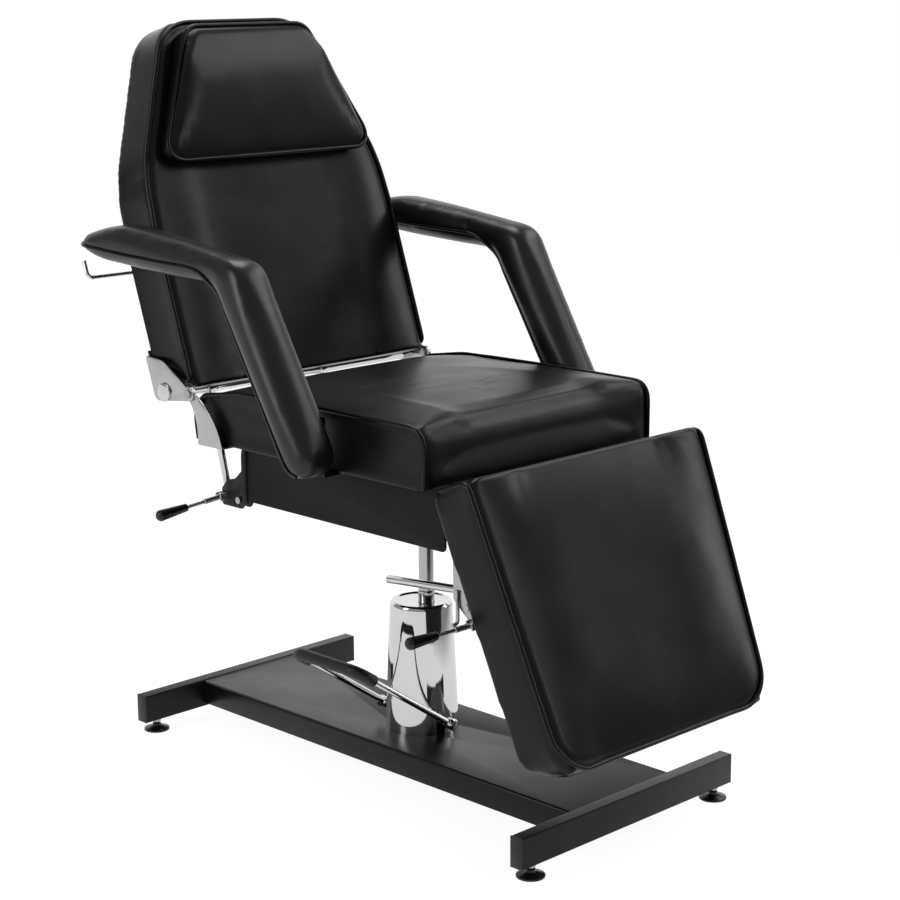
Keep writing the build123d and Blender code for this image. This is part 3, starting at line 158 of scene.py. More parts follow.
def fit_on(piece, body, slot, material, *nodes):
    """Give a piece its finish, its body and the CAD nodes it stands for."""
    piece.data.materials.clear()
    piece.data.materials.append(material)
    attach(piece, body)
    if nodes:
        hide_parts(*nodes)
    return piece


def copy_of(node, name):
    """A CAD node's shape as a piece of its own, its loose triangles joined."""
    piece = bpy.data.objects.new(name, parts[node].data.copy())
    bpy.context.scene.collection.objects.link(piece)
    open_mesh(piece)
    bpy.ops.mesh.remove_doubles(threshold=0.00002)
    close_mesh()
    return piece


def on_back(across, along, out):
    """Point in the backrest's own axes, y up its face and z out of it."""
    return back_pivot + Matrix.Rotation(back_slope, 3, "X") @ Vector((across, along, out))


def on_leg(across, along, out):
    """Point in the leg rest's own axes."""
    return leg_pivot + Matrix.Rotation(leg_slope, 3, "X") @ Vector((across, along, out))


def on_seat(across, along, height):
    """Point measured from the column's axis and the floor."""
    return Vector((across, along - column_lead, height))


# Materials
def linear(code):
    """Linear colour of an sRGB hex code."""
    values = [int(code[i:i + 2], 16) / 255 for i in (1, 3, 5)]
    return [v / 12.92 if v <= 0.04045 else ((v + 0.055) / 1.055) ** 2.4 for v in values] + [1.0]


def add(tree, kind, inputs=None, **settings):
    """Add a node with its settings, values and links."""
    node = tree.nodes.new(kind)
    for key, value in settings.items():
        setattr(node, key, value)
    for key, value in (inputs or {}).items():
        if isinstance(value, bpy.types.NodeSocket):
            tree.links.new(value, node.inputs[key])
        else:
            node.inputs[key].default_value = value
    return node


def blank(name):
    """Empty material, with its tree and shader."""
    material = bpy.data.materials.new(name)
    material.use_nodes = True
    return material, material.node_tree, material.node_tree.nodes["Principled BSDF"]


def join(tree, source, target):
    """Link two sockets."""
    tree.links.new(source, target)


def leatherette(name, shade, light_shade, gloss, creases):
    """Black upholstery vinyl: smooth skin, fine pebbles, a soft satin highlight."""
    material, tree, shader = blank(name)
    place = add(tree, "ShaderNodeTexCoord").outputs["Object"]
    cloud = add(tree, "ShaderNodeTexNoise", {"Vector": place, "Scale": 9.0, "Detail": 3.0})
    tint = add(tree, "ShaderNodeMix", {"Factor": cloud.outputs["Fac"], "A": linear(shade),
                                       "B": linear(light_shade)}, data_type="RGBA")
    join(tree, tint.outputs["Result"], shader.inputs["Base Color"])
    rub = add(tree, "ShaderNodeMapRange", {"Value": cloud.outputs["Fac"], "From Min": 0.3, "From Max": 0.7,
                                           "To Min": gloss - 0.03, "To Max": gloss + 0.05})
    join(tree, rub.outputs["Result"], shader.inputs["Roughness"])
    # pebbles are 1 mm on the real skin and 2.2 mm here, so that they show
    pebbles = add(tree, "ShaderNodeTexVoronoi", {"Vector": place, "Scale": 450.0})
    grain = add(tree, "ShaderNodeBump", {"Height": pebbles.outputs["Distance"], "Strength": 0.08,
                                         "Distance": 0.0005})
    # the skin lies over foam in slow waves a hand wide
    waves = add(tree, "ShaderNodeTexNoise", {"Vector": place, "Scale": 13.0, "Detail": 1.5})
    slack = add(tree, "ShaderNodeBump", {"Height": waves.outputs["Fac"], "Strength": 0.13, "Distance": 0.004,
                                         "Normal": grain.outputs["Normal"]})
    last = slack
    if creases:
        last = stretch_creases(tree, place, slack, creases)
    join(tree, last.outputs["Normal"], shader.inputs["Normal"])
    shader.inputs["IOR"].default_value = 1.32
    shader.inputs["Coat Weight"].default_value = 0.03
    shader.inputs["Coat Roughness"].default_value = 0.20
    return material


def stretch_creases(tree, place, under, depth):
    """Fine creases across the chair where the cover is pulled flat, in its middle."""
    along = add(tree, "ShaderNodeMapping", {"Vector": place, "Scale": (2.0, 44.0, 44.0)})
    folds = add(tree, "ShaderNodeTexNoise", {"Vector": along.outputs["Vector"], "Scale": 1.0, "Detail": 1.5})
    ridge = add(tree, "ShaderNodeValToRGB", {"Fac": folds.outputs["Fac"]})
    ridge.color_ramp.elements[0].position = 0.490
    ridge.color_ramp.elements[1].position = 0.510
    ridge.color_ramp.elements[0].color = (1, 1, 1, 1)
    ridge.color_ramp.elements[1].color = (1, 1, 1, 1)
    ridge.color_ramp.elements.new(0.50).color = (0, 0, 0, 1)
    side = add(tree, "ShaderNodeSeparateXYZ", {"Vector": place})
    wide = add(tree, "ShaderNodeMath", {0: side.outputs["X"]}, operation="ABSOLUTE")
    middle = add(tree, "ShaderNodeMapRange", {"Value": wide.outputs["Value"], "From Min": 0.14,
                                              "From Max": 0.24, "To Min": 1.0, "To Max": 0.0})
    patch = add(tree, "ShaderNodeTexNoise", {"Vector": place, "Scale": 6.0})
    patchy = add(tree, "ShaderNodeMapRange", {"Value": patch.outputs["Fac"], "From Min": 0.42,
                                              "From Max": 0.56})
    where = add(tree, "ShaderNodeMath", {0: middle.outputs["Result"], 1: patchy.outputs["Result"]},
                operation="MULTIPLY")
    high = add(tree, "ShaderNodeMapRange", {"Value": side.outputs["Z"], "From Min": 0.765, "From Max": 0.790,
                                            "To Max": depth})
    strength = add(tree, "ShaderNodeMath", {0: where.outputs["Value"], 1: high.outputs["Result"]},
                   operation="MULTIPLY")
    return add(tree, "ShaderNodeBump", {"Height": ridge.outputs["Color"], "Distance": 0.0012,
                                        "Strength": strength.outputs["Value"],
                                        "Normal": under.outputs["Normal"]})


def bright_chrome(name, shade, gloss):
    """Chromium plate or hard chrome: a clear mirror, a little hazed in patches 30 mm wide by handling."""
    material, tree, shader = blank(name)
    place = add(tree, "ShaderNodeTexCoord").outputs["Object"]
    shader.inputs["Base Color"].default_value = linear(shade)
    shader.inputs["Metallic"].default_value = 1.0
    haze = add(tree, "ShaderNodeTexNoise", {"Vector": place, "Scale": 35.0, "Detail": 4.0})
    rub = add(tree, "ShaderNodeMapRange", {"Value": haze.outputs["Fac"], "From Min": 0.35, "From Max": 0.7,
                                           "To Min": gloss, "To Max": gloss + 0.05})
    join(tree, rub.outputs["Result"], shader.inputs["Roughness"])
    return material


def rolled_steel(name, shade, gloss, streak):
    """Polished or zinced steel sheet: a soft mirror, drawn out across fine wheel lines."""
    material, tree, shader = blank(name)
    place = add(tree, "ShaderNodeTexCoord").outputs["Object"]
    shader.inputs["Base Color"].default_value = linear(shade)
    shader.inputs["Metallic"].default_value = 1.0
    # wheel lines are 0.1 mm apart on the real sheet and 0.7 mm here, so that they show
    along = add(tree, "ShaderNodeMapping", {"Vector": place, "Scale": (90.0, 90.0, 1400.0)})
    lines = add(tree, "ShaderNodeTexNoise", {"Vector": along.outputs["Vector"], "Scale": 1.0, "Detail": 2.0})
    rub = add(tree, "ShaderNodeMapRange", {"Value": lines.outputs["Fac"], "From Min": 0.3, "From Max": 0.7,
                                           "To Min": gloss - streak, "To Max": gloss + streak})
    join(tree, rub.outputs["Result"], shader.inputs["Roughness"])
    bump = add(tree, "ShaderNodeBump", {"Height": lines.outputs["Fac"], "Strength": 0.05, "Distance": 0.0002})
    # pressed sheet is never flat: its mirror image wanders
    press = add(tree, "ShaderNodeTexNoise", {"Vector": place, "Scale": 16.0, "Detail": 0.5})
    dish = add(tree, "ShaderNodeBump", {"Height": press.outputs["Fac"], "Strength": 0.6, "Distance": 0.012,
                                        "Normal": bump.outputs["Normal"]})
    join(tree, dish.outputs["Normal"], shader.inputs["Normal"])
    return material


def powder_coat(name, shade, gloss):
    """Baked black powder paint: even, half matt, with a fine orange-peel skin."""
    material, tree, shader = blank(name)
    place = add(tree, "ShaderNodeTexCoord").outputs["Object"]
    shader.inputs["Base Color"].default_value = linear(shade)
    # orange peel is 0.5 mm on the real coat and 1.5 mm here, so that it shows
    peel = add(tree, "ShaderNodeTexNoise", {"Vector": place, "Scale": 650.0, "Detail": 2.0})
    bump = add(tree, "ShaderNodeBump", {"Height": peel.outputs["Fac"], "Strength": 0.12, "Distance": 0.0004})
    join(tree, bump.outputs["Normal"], shader.inputs["Normal"])
    dust = add(tree, "ShaderNodeTexNoise", {"Vector": place, "Scale": 7.0, "Detail": 5.0})
    rub = add(tree, "ShaderNodeMapRange", {"Value": dust.outputs["Fac"], "From Min": 0.3, "From Max": 0.7,
                                           "To Min": gloss - 0.04, "To Max": gloss + 0.05})
    join(tree, rub.outputs["Result"], shader.inputs["Roughness"])
    shader.inputs["IOR"].default_value = 1.35
    return material


def moulded(name, shade, gloss, depth):
    """Moulded nylon or rubber: black, with the dull broken shine of the mould's sparked skin."""
    material, tree, shader = blank(name)
    place = add(tree, "ShaderNodeTexCoord").outputs["Object"]
    shader.inputs["Base Color"].default_value = linear(shade)
    shader.inputs["Roughness"].default_value = gloss
    # the sparked skin is 0.2 mm on the real part and 1.1 mm here, so that it shows
    spark = add(tree, "ShaderNodeTexNoise", {"Vector": place, "Scale": 900.0, "Detail": 1.0})
    bump = add(tree, "ShaderNodeBump", {"Height": spark.outputs["Fac"], "Strength": depth,
                                        "Distance": 0.0003})
    join(tree, bump.outputs["Normal"], shader.inputs["Normal"])
    return material


def lining_cloth(name, shade):
    """Black non-woven lining stapled over the boards: dull, with a felted dapple."""
    material, tree, shader = blank(name)
    place = add(tree, "ShaderNodeTexCoord").outputs["Object"]
    # fibre bonds lie 1 mm apart on the real felt and 2.6 mm here, so that they show
    fibres = add(tree, "ShaderNodeTexVoronoi", {"Vector": place, "Scale": 380.0})
    tint = add(tree, "ShaderNodeMix", {"Factor": fibres.outputs["Distance"], "A": linear(shade),
                                       "B": linear("#2c2c2c")}, data_type="RGBA")
    join(tree, tint.outputs["Result"], shader.inputs["Base Color"])
    bump = add(tree, "ShaderNodeBump", {"Height": fibres.outputs["Distance"], "Strength": 0.4,
                                        "Distance": 0.0005})
    join(tree, bump.outputs["Normal"], shader.inputs["Normal"])
    shader.inputs["Roughness"].default_value = 0.85
    return material


# Embossed expanded vinyl on knit: near black, a satin band of light wherever it turns
vinyl = leatherette("upholstery_vinyl", "#0a0a0b", "#0f0f10", 0.25, 0)
# the same vinyl, duller and creased where it is sat on
seat_vinyl = leatherette("seat_vinyl", "#0a0a0b", "#0f0f10", 0.33, 0.9)
# the same vinyl, with a hint of creases across the back
back_vinyl = leatherette("backrest_vinyl", "#0a0a0b", "#0f0f10", 0.25, 0.07)
# the same vinyl on the armrests, a paler and shinier copy: its lighter colour is painted light for their lit
# faces
arm_vinyl_painted_lighter = leatherette("armrest_vinyl_painted_lighter", "#0d0d0e", "#131314", 0.31, 0)
arm_vinyl_painted_lighter.node_tree.nodes["Principled BSDF"].inputs["IOR"].default_value = 1.49
# vinyl drawn over cord, a darker copy of the vinyl: its colour is painted shade for the thin dark line of the
# seam, with a bright thread of light along it
welt_vinyl_painted_shade = leatherette("welt_vinyl_painted_shade", "#070708", "#0b0b0c", 0.22, 0)
# decorative chromium plate: the room's clear mirror image, white against black
chrome = bright_chrome("chromium_plate", "#dedede", 0.03)
# satin plate of the lever arms: the same white, spread wide
lever_chrome = bright_chrome("satin_chromium_plate", "#d6d6d6", 0.28)
# ground hard chrome of the column: greyer, a soft upright streak
ram_steel = bright_chrome("ground_hard_chrome", "#bdbec0", 0.20)
# polished stainless sheet of the hinges: pale, its mirror image wanders with the pressing
plate_steel = rolled_steel("polished_stainless_sheet", "#c2c2c0", 0.18, 0.05)
# bright zinc on clamps, screws and pins: light grey, half dull
zinc = rolled_steel("zinc_plated_steel", "#b9bbbd", 0.30, 0.06)
# powder coat of the base and carriage: even black, half matt, paler at a low angle
powder = powder_coat("black_powder_coat", "#0c0c0d", 0.34)
# flatter powder coat of the side panels: almost no shine
panel_powder = powder_coat("side_panel_coat", "#090909", 0.46)
panel_powder.node_tree.nodes["Principled BSDF"].inputs["IOR"].default_value = 1.31
# moulded nylon of grips and feet: black with a small crisp highlight
nylon = moulded("black_nylon", "#0e0e0e", 0.30, 0.08)
# rubber of the pedal's sleeve: dull and a shade greyer
rubber = moulded("black_rubber", "#131313", 0.48, 0.20)
# non-woven lining under the boards: flat charcoal
lining = lining_cloth("board_lining", "#171717")


# Padded covers
def blow_up(piece, swell):
    """Let a closed cover swell over its foam, each point no further than swell says."""
    rest = [vertex.co.copy() for vertex in piece.data.vertices]
    reach = [swell(place) for place in rest]
    group = piece.vertex_groups.new(name="held")
    for index, limit in enumerate(reach):
        group.add([index], max(0.0, 1 - limit / 0.0015), "REPLACE")
    only(piece)
    cloth = piece.modifiers.new("cover", "CLOTH")
    cloth.settings.use_pressure = True
    cloth.settings.uniform_pressure_force = air_pressure
    cloth.settings.vertex_group_mass = group.name
    cloth.settings.effector_weights.gravity = 0.0
    cloth.settings.tension_stiffness = 25.0
    cloth.settings.compression_stiffness = 25.0
    cloth.settings.bending_stiffness = 1.5
    cloth.point_cache.frame_end = air_frames
    for number in range(1, air_frames + 1):
        bpy.context.scene.frame_set(number)
    bpy.ops.object.modifier_apply(modifier=cloth.name)
    for vertex, place, limit in zip(piece.data.vertices, rest, reach):
        moved = vertex.co - place
        if moved.length > limit:
            vertex.co = place + moved * (limit / max(moved.length, 1e-9))
    bpy.context.scene.frame_set(1)
    piece.vertex_groups.clear()


def weigh(piece, name, weight):
    """Vertex group with a weight worked out from each point's place."""
    group = piece.vertex_groups.new(name=name)
    for vertex in piece.data.vertices:
        group.add([vertex.index], weight(vertex.co), "REPLACE")
    return group.name


def cover_of(node, name, voxel, swell, slope=0.0, soften=4, even=60, loose=None, puff=0.0):
    """Soft cover over a CAD cushion: remeshed along its own axes, evened out, blown up and refined."""
    piece = copy_of(node, name)
    piece.data.transform(Matrix.Rotation(-slope, 4, "X"))
    piece.data.remesh_voxel_size = voxel
    only(piece)
    bpy.ops.object.voxel_remesh()
    piece.data.transform(Matrix.Rotation(slope, 4, "X"))
    finish_with(piece, "SHRINKWRAP", target=parts[node], wrap_method="NEAREST_SURFACEPOINT")
    finish_with(piece, "SMOOTH", factor=0.5, iterations=soften)
    eased = weigh(piece, "loose", loose or (lambda place: min(1.0, swell(place) / 0.004)))
    finish_with(piece, "SMOOTH", factor=0.5, iterations=even, vertex_group=eased)
    piece.vertex_groups.clear()
    if puff:
        finish_with(piece, "DISPLACE", strength=puff, mid_level=0.0)
    else:
        edge = weigh(piece, "edge", lambda place: max(0.0, 1 - swell(place) / 0.004))
        finish_with(piece, "SHRINKWRAP", target=parts[node], wrap_method="NEAREST_SURFACEPOINT",
                    vertex_group=edge)
        piece.vertex_groups.clear()
    blow_up(piece, swell)
    finish_with(piece, "SMOOTH", factor=0.5, iterations=1)
    finish_with(piece, "SUBSURF", levels=1, render_levels=1)
    only(piece)
    bpy.ops.object.shade_smooth()
    return piece


def near(value, low, high):
    """1 at low and beyond, 0 at high and beyond, straight between."""
    return min(1.0, max(0.0, (high - value) / (high - low)))


def shoulder(inset, reach):
    """Rise of a padded face from its seam inwards, as a share."""
    return math.sin(math.pi / 2 * min(1.0, max(0.0, inset) / reach))


def seat_swell(place):
    """How far the seat's cover swells: full in its middle, nothing at its seams, board and rear."""
    inset = seat_half - abs(place.x)
    low = 1 - near(place.z, 0.690, 0.725)
    rear = shoulder(0.322 - place.y, 0.070)
    if inset > 0.003:
        front = near(-place.y, 0.250, 0.330)
        reach = 0.150 - 0.035 * near(0.300 - place.y, 0.05, 0.35)
        return (0.009 + 0.009 * front) * shoulder(inset, reach) * low * rear
    top = seat_top - max(0.0, place.y + 0.05) * 0.06
    depth = min(top - place.z, place.y + 0.332)
    full = 0.004 + 0.008 * near(place.y, -0.200, 0.050)
    return full * shoulder(depth, 0.050) * low * rear


def back_local(place):
    """A point in the backrest's own axes."""
    return Matrix.Rotation(-back_slope, 3, "X") @ (place - back_pivot)


def back_half(along):
    """Half width of the backrest's face."""
    if along > back_shoulder:
        return back_narrow - (along - back_shoulder) * 0.139 / 0.319
    return back_wide - max(0.0, along - back_waist) * 0.009 / 0.123


def back_swell(place):
    """How far the backrest's cover swells."""
    local = back_local(place)
    inset = min(back_half(local.y) - abs(local.x), back_top - local.y)
    foot = shoulder(local.y - 0.012, 0.070)
    if local.z > 0.0 and inset > 0.004:
        return 0.015 * shoulder(inset, 0.170) * foot
    return 0.004 * shoulder(0.006 - local.z, 0.050) * shoulder(local.z + 0.090, 0.020) * foot


def leg_local(place):
    """A point in the leg rest's own axes."""
    return Matrix.Rotation(-leg_slope, 3, "X") @ (place - leg_pivot)


def leg_swell(place):
    """How far the leg rest's cover swells."""
    local = leg_local(place)
    half = leg_wide + min(0.0, local.y) * 0.031 / 0.560
    inset = min(half - abs(local.x), local.y + leg_foot)
    head = shoulder(0.004 - local.y, 0.060)
    if local.z > 0.099 and inset > 0.004:
        return 0.016 * shoulder(inset, 0.170) * head
    return 0.004 * shoulder(0.104 - local.z, 0.040) * shoulder(local.z - 0.014, 0.020) * head


def pillow_swell(place):
    """How far the head pillow's cover swells."""
    local = back_local(place)
    half = 0.284 - (local.y - pillow_foot) * 0.127 / 0.272
    inset = min(half - abs(local.x), local.y - pillow_foot, pillow_top - local.y)
    if local.z > 0.036 and inset > 0.003:
        return 0.009 * shoulder(inset, 0.060)
    return 0.004 * shoulder(0.036 - local.z, 0.020) * shoulder(local.z - 0.018, 0.012)


def arm_swell(place):
    """How far an armrest's cover swells: not where its bracket lies."""
    beside = near(abs(place.x) - 0.340, 0.003, 0.010) * near(place.z, 0.800, 0.860)
    return 0.004 * (1 - beside)


def elbow(place):
    """1 round the armrest's elbow, 0 away from it."""
    return near(math.hypot(place.y - elbow_place[0], place.z - elbow_place[1]), 0.050, 0.120)


def round_shoulders(piece):
    """Ease the backrest's outline where it starts to narrow."""
    eased_run = 0.060
    for vertex in piece.data.vertices:
        from_corner = abs(back_local(vertex.co).y - back_shoulder)
        if from_corner < eased_run:
            inwards = math.copysign((eased_run - from_corner) ** 2 / 0.72, vertex.co.x)
            vertex.co.x -= inwards * abs(vertex.co.x) / back_narrow
    piece.data.update()


seat = cover_of("seat_cushion", "seat_cover", cover_voxel, seat_swell, soften=3)
backrest = cover_of("back_cushion", "backrest_cover", cover_voxel, back_swell, slope=back_slope, even=90)
round_shoulders(backrest)
legrest = cover_of("leg_cushion", "legrest_cover", cover_voxel, leg_swell, slope=leg_slope, even=90)
pillow = cover_of("headrest_pillow", "pillow_cover", pillow_voxel, pillow_swell, slope=back_slope, even=14)
arm_right = cover_of("armrest_right", "armrest_cover_right", arm_voxel, arm_swell, soften=60, even=60,
                     loose=elbow, puff=0.0065)
arm_left = arm_right.copy()
arm_left.data = arm_right.data.copy()
arm_left.name = "armrest_cover_left"
bpy.context.scene.collection.objects.link(arm_left)
open_mesh(arm_left)
bpy.ops.transform.mirror(constraint_axis=(True, False, False), orient_type="GLOBAL",
                         center_override=(0, 0, 0))
bpy.ops.mesh.normals_make_consistent(inside=False)
close_mesh()

for cover, body, skin, node, fill in (
        (seat, "carriage", seat_vinyl, "seat_cushion", 0.8),
        (backrest, "backrest", back_vinyl, "back_cushion", 0.85),
        (legrest, "legrest", vinyl, "leg_cushion", 0.85),
        (pillow, "backrest", vinyl, "headrest_pillow", 0.8),
        (arm_right, "carriage", arm_vinyl_painted_lighter, "armrest_right", 0.9),
        (arm_left, "carriage", arm_vinyl_painted_lighter, "armrest_left", 0.9)):
    fit_on(cover, body, "black_vinyl", skin, node)


# Welts, the corded seams round the covers
def rounded(corners, closed):
    """Points of a line whose corners are given as (place, radius)."""
    points = []
    count = len(corners)
    for index, (place, radius) in enumerate(corners):
        inside = closed or 0 < index < count - 1
        if radius == 0 or not inside:
            points.append(place)
            continue
        before = (corners[index - 1][0] - place).normalized()
        after = (corners[(index + 1) % count][0] - place).normalized()
        half = before.angle(after) / 2
        reach = radius / math.tan(half)
        centre = place + (before + after).normalized() * radius / math.sin(half)
        start = place + before * reach - centre
        end = place + after * reach - centre
        for step in range(9):
            points.append(centre + arc_point(start, end, step / 8))
    return points


def arc_point(start, end, share):
    """Point part of the way round an arc about the origin."""
    angle = start.angle(end)
    if angle < 1e-6:
        return start.copy()
    return (start * math.sin((1 - share) * angle) + end * math.sin(share * angle)) / math.sin(angle)


def evenly(points, step, closed):
    """The same line with a point every step."""
    line = points + [points[0]] if closed else points
    even = [line[0]]
    for a, b in zip(line, line[1:]):
        runs = max(1, round((b - a).length / step))
        even += [a.lerp(b, n / runs) for n in range(1, runs + 1)]
    return even[:-1] if closed else even


def seated(points, cover, lift, closed, keep):
    """The line laid between a cover and the cushion's sharp edge, and eased."""
    laid = []
    for point in points:
        _, place, normal, _ = cover.closest_point_on_mesh(point)
        pull = keep if (point - place).length < 0.016 else 0.0
        laid.append(place.lerp(point, pull) + normal * lift)
    for _ in range(4):
        eased = [place.copy() for place in laid]
        for index in range(len(laid)):
            if closed or 0 < index < len(laid) - 1:
                eased[index] = (laid[index - 1] + laid[index] * 2 + laid[(index + 1) % len(laid)]) / 4
        laid = eased
    return laid


def tube(name, points, radius, closed=False, sides=3):
    """Round cord along a line, as a mesh."""
    bpy.ops.object.select_all(action="DESELECT")
    bpy.ops.curve.primitive_nurbs_path_add()
    cord = bpy.context.active_object
    cord.name = name
    line = cord.data
    line.splines.clear()
    spline = line.splines.new("POLY")
    spline.points.add(len(points) - 1)
    for target, point in zip(spline.points, points):
        target.co = (*point, 1.0)
    spline.use_cyclic_u = closed
    line.dimensions = "3D"
    line.bevel_depth = radius
    line.bevel_resolution = sides
    line.use_fill_caps = True
    only(cord)
    bpy.ops.object.convert(target="MESH")
    cord = bpy.context.active_object
    settle(cord)
    bpy.ops.object.shade_smooth()
    return cord


def tuck(cover, line, radius):
    """Bring a cover's edge out to its corded seam and draw it in on both sides."""
    tree = KDTree(len(line))
    for index, point in enumerate(line):
        tree.insert(point, index)
    tree.balance()
    places = []
    for vertex in cover.data.vertices:
        point, _, distance = tree.find(vertex.co)
        share = max(0.0, 1 - distance / tuck_reach)
        place = vertex.co.lerp(point, min(1.0, 1.35 * share ** 1.5))
        beside = max(0.0, 1 - abs(distance - 2.4 * radius) / (2.4 * radius))
        places.append(place - vertex.normal * (tuck_depth * beside * beside))
    for vertex, place in zip(cover.data.vertices, places):
        vertex.co = place
    cover.data.update()


def welt(name, cover, body, corners, closed=False, radius=welt_radius, keep=seam_keep):
    """Corded seam laid along a cover's edge."""
    line = seated(evenly(rounded(corners, closed), 0.006, closed), cover, radius * welt_lift, closed,
                  keep)
    tuck(cover, line, radius)
    return fit_on(tube(name, line, radius, closed), body, "black_vinyl", welt_vinyl_painted_shade)


def seat_side(side):
    """Seam round one side of the seat: up its front corner, back along its top and down its rear."""
    x = side * seat_half
    return [(on_seat(x, -0.316, 0.684), 0), (on_seat(x, -0.319, seat_top), 0.034),
            (on_seat(x, -0.036, seat_top), 0), (on_seat(x, 0.200, 0.791), 0),
            (on_seat(x, 0.316, 0.774), 0.030), (on_seat(x, 0.338, 0.728), 0.020),
            (on_seat(x, 0.328, 0.684), 0)]


def both_sides(half_line):
    """A seam's left half, given as (x, y, z, radius) to the left, and its right half back again."""
    there = [((-x, y, z), radius) for x, y, z, radius in half_line]
    return there + [((x, y, z), radius) for x, y, z, radius in reversed(half_line)]


back_rim = [(on_back(*place), radius) for place, radius in both_sides([
    (0.318, 0.060, -0.060, 0), (back_wide, 0.012, back_face, 0.012),
    (back_wide, back_waist, back_face, 0.200), (back_narrow, back_shoulder, back_face, 0.300),
    (0.180, 0.753, back_face, 0.095)])]
leg_rim = [(on_leg(*place), radius) for place, radius in both_sides([
    (0.320, 0.004, 0.030, 0), (leg_wide, 0.004, leg_face, 0.020), (leg_narrow, -0.536, leg_face, 0.078)])]
pillow_rim = [(on_back(-0.283, 0.460, 0.040), 0.030), (on_back(-0.157, 0.730, 0.050), 0.036),
              (on_back(0.157, 0.730, 0.050), 0.036), (on_back(0.283, 0.460, 0.040), 0.030)]


def arm_seam(side, across):
    """Seam along one face of an armrest, from its tip to its foot."""
    x = side * across
    return [(on_seat(x, 0.590, 1.064), 0), (on_seat(x, 0.400, 1.055), 0),
            (on_seat(x, 0.178, 1.046), 0.060), (on_seat(x, -0.068, 0.693), 0),
            (on_seat(x, -0.085, 0.684), 0)]


welt("seat_welt_left", seat, "carriage", seat_side(-1))
welt("seat_welt_right", seat, "carriage", seat_side(1))
welt("backrest_welt", backrest, "backrest", back_rim)
welt("legrest_welt", legrest, "legrest", leg_rim)
welt("pillow_welt", pillow, "backrest", pillow_rim, closed=True)
for arm, side, hand in ((arm_left, -1, "left"), (arm_right, 1, "right")):
    for face, across in (("outer", arm_outer), ("inner", arm_inner)):
        welt(f"armrest_{face}_welt_{hand}", arm, "carriage", arm_seam(side, across),
             radius=arm_welt_radius, keep=0)


# Metal and plastic parts, with their edges broken
def crisp(node, name, material, edge, segments=2):
    """A CAD part with its flat faces cleaned and its edges broken, so that they catch the light."""
    piece = copy_of(node, name)
    open_mesh(piece)
    bpy.ops.mesh.dissolve_limited(angle_limit=math.radians(1.0))
    close_mesh()
    if edge:
        finish_with(piece, "BEVEL", width=edge, segments=segments, limit_method="ANGLE",
                    angle_limit=math.radians(38), use_clamp_overlap=True)
    smooth(piece)
    return fit_on(piece, parts[node]["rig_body"], cad_slots[node], material, node)


for node, edge in (("base_front_beam", 0.0006), ("base_rear_beam", 0.0006), ("base_plate", 0.0006)):
    crisp(node, node + "_coated", powder, edge)
for node in ("side_panel_left", "side_panel_right"):
    panel = crisp(node, node + "_coated", panel_powder, 0.0012)
    for vertex in panel.data.vertices:
        if vertex.co.y > panel_rear:
            vertex.co.y += panel_run
for node in ("lower_hinge_left", "lower_hinge_right", "upper_hinge_left", "upper_hinge_right"):
    crisp(node, node + "_polished", plate_steel, 0.0005)
for node in ("back_clamp", "rod_guide", "leg_clamp"):
    clamp = crisp(node, node + "_plated", zinc, 0.0005)
    clamp.data.materials.append(powder)
    for face in clamp.data.polygons:
        face.material_index = int(node != "leg_clamp" and face.center.x > clamp_ears)
crisp("pump_gland", "pump_gland_ground", ram_steel, 0.0004)
for node in ("pedal_frame", "pedal_end_caps", "back_rods", "leg_rod", "back_crossbar", "roll_bar",
             "roll_brackets"):
    crisp(node, node + "_bright", chrome, 0.0004)
for node in ("back_lever_arm", "leg_lever_arm"):
    crisp(node, node + "_bright", lever_chrome, 0.0004)
for node in ("back_lever_grip", "leg_lever_grip"):
    crisp(node, node + "_moulded", nylon, 0.0040, segments=4)
for node in ("beam_end_plugs", "foot_front_left", "foot_front_right",
             "foot_rear_left", "foot_rear_right"):
    crisp(node, node + "_moulded", nylon, 0.0008)
crisp("pedal_sleeve", "pedal_sleeve_moulded", rubber, 0.0008)


def turned(name, centre, profile, segments=96):
    """Round skin through (radius, height) points, built ring by ring."""
    bpy.ops.object.select_all(action="DESELECT")
    bpy.ops.mesh.primitive_circle_add(vertices=segments, radius=profile[0][0],
                                      location=(centre[0], centre[1], profile[0][1]))
    piece = bpy.context.active_object
    piece.name = name
    open_mesh(piece)
    for (old_radius, old_height), (radius, height) in zip(profile, profile[1:]):
        bpy.ops.mesh.extrude_region_move(TRANSFORM_OT_translate={"value": (0, 0, height - old_height)})
        share = radius / old_radius
        bpy.ops.transform.resize(value=(share, share, 1), center_override=(centre[0], centre[1], height))
    bpy.ops.mesh.select_all(action="SELECT")
    bpy.ops.mesh.remove_doubles(threshold=0.00001)
    close_mesh()
    settle(piece)
    return piece


def cut_out(piece, cutter):
    """Take a cutter's shape out of a piece."""
    finish_with(piece, "BOOLEAN", object=cutter, operation="DIFFERENCE", solver="EXACT")
    bpy.data.objects.remove(cutter)


pump_cover = turned("pump_cover_spun", cover_middle, [
    (0.0730, plate_top), (0.0728, plate_top + 0.004), (0.0612, 0.3400), (0.0606, 0.3438), (0.0592, 0.3464),
    (0.0570, 0.3475), (0.0548, 0.3472), (0.0530, 0.3458), (0.0510, 0.3448), (0.0480, 0.3445),
    (0.0050, 0.3445), (0.0001, 0.3445)])
finish_with(pump_cover, "SOLIDIFY", thickness=0.0022, offset=-1)
bpy.ops.mesh.primitive_cylinder_add(vertices=64, radius=0.0172, depth=0.06,
                                    location=(0, -column_lead, 0.345))
cut_out(pump_cover, bpy.context.active_object)
shaft_low, shaft_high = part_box("pedal_shaft")
slot_top = shaft_high[2] + 0.002
bpy.ops.mesh.primitive_cube_add(size=1, location=((shaft_low[0] + shaft_high[0]) / 2, -column_lead,
                                                  (slot_top + plate_top - 0.01) / 2))
slot_cutter = bpy.context.active_object
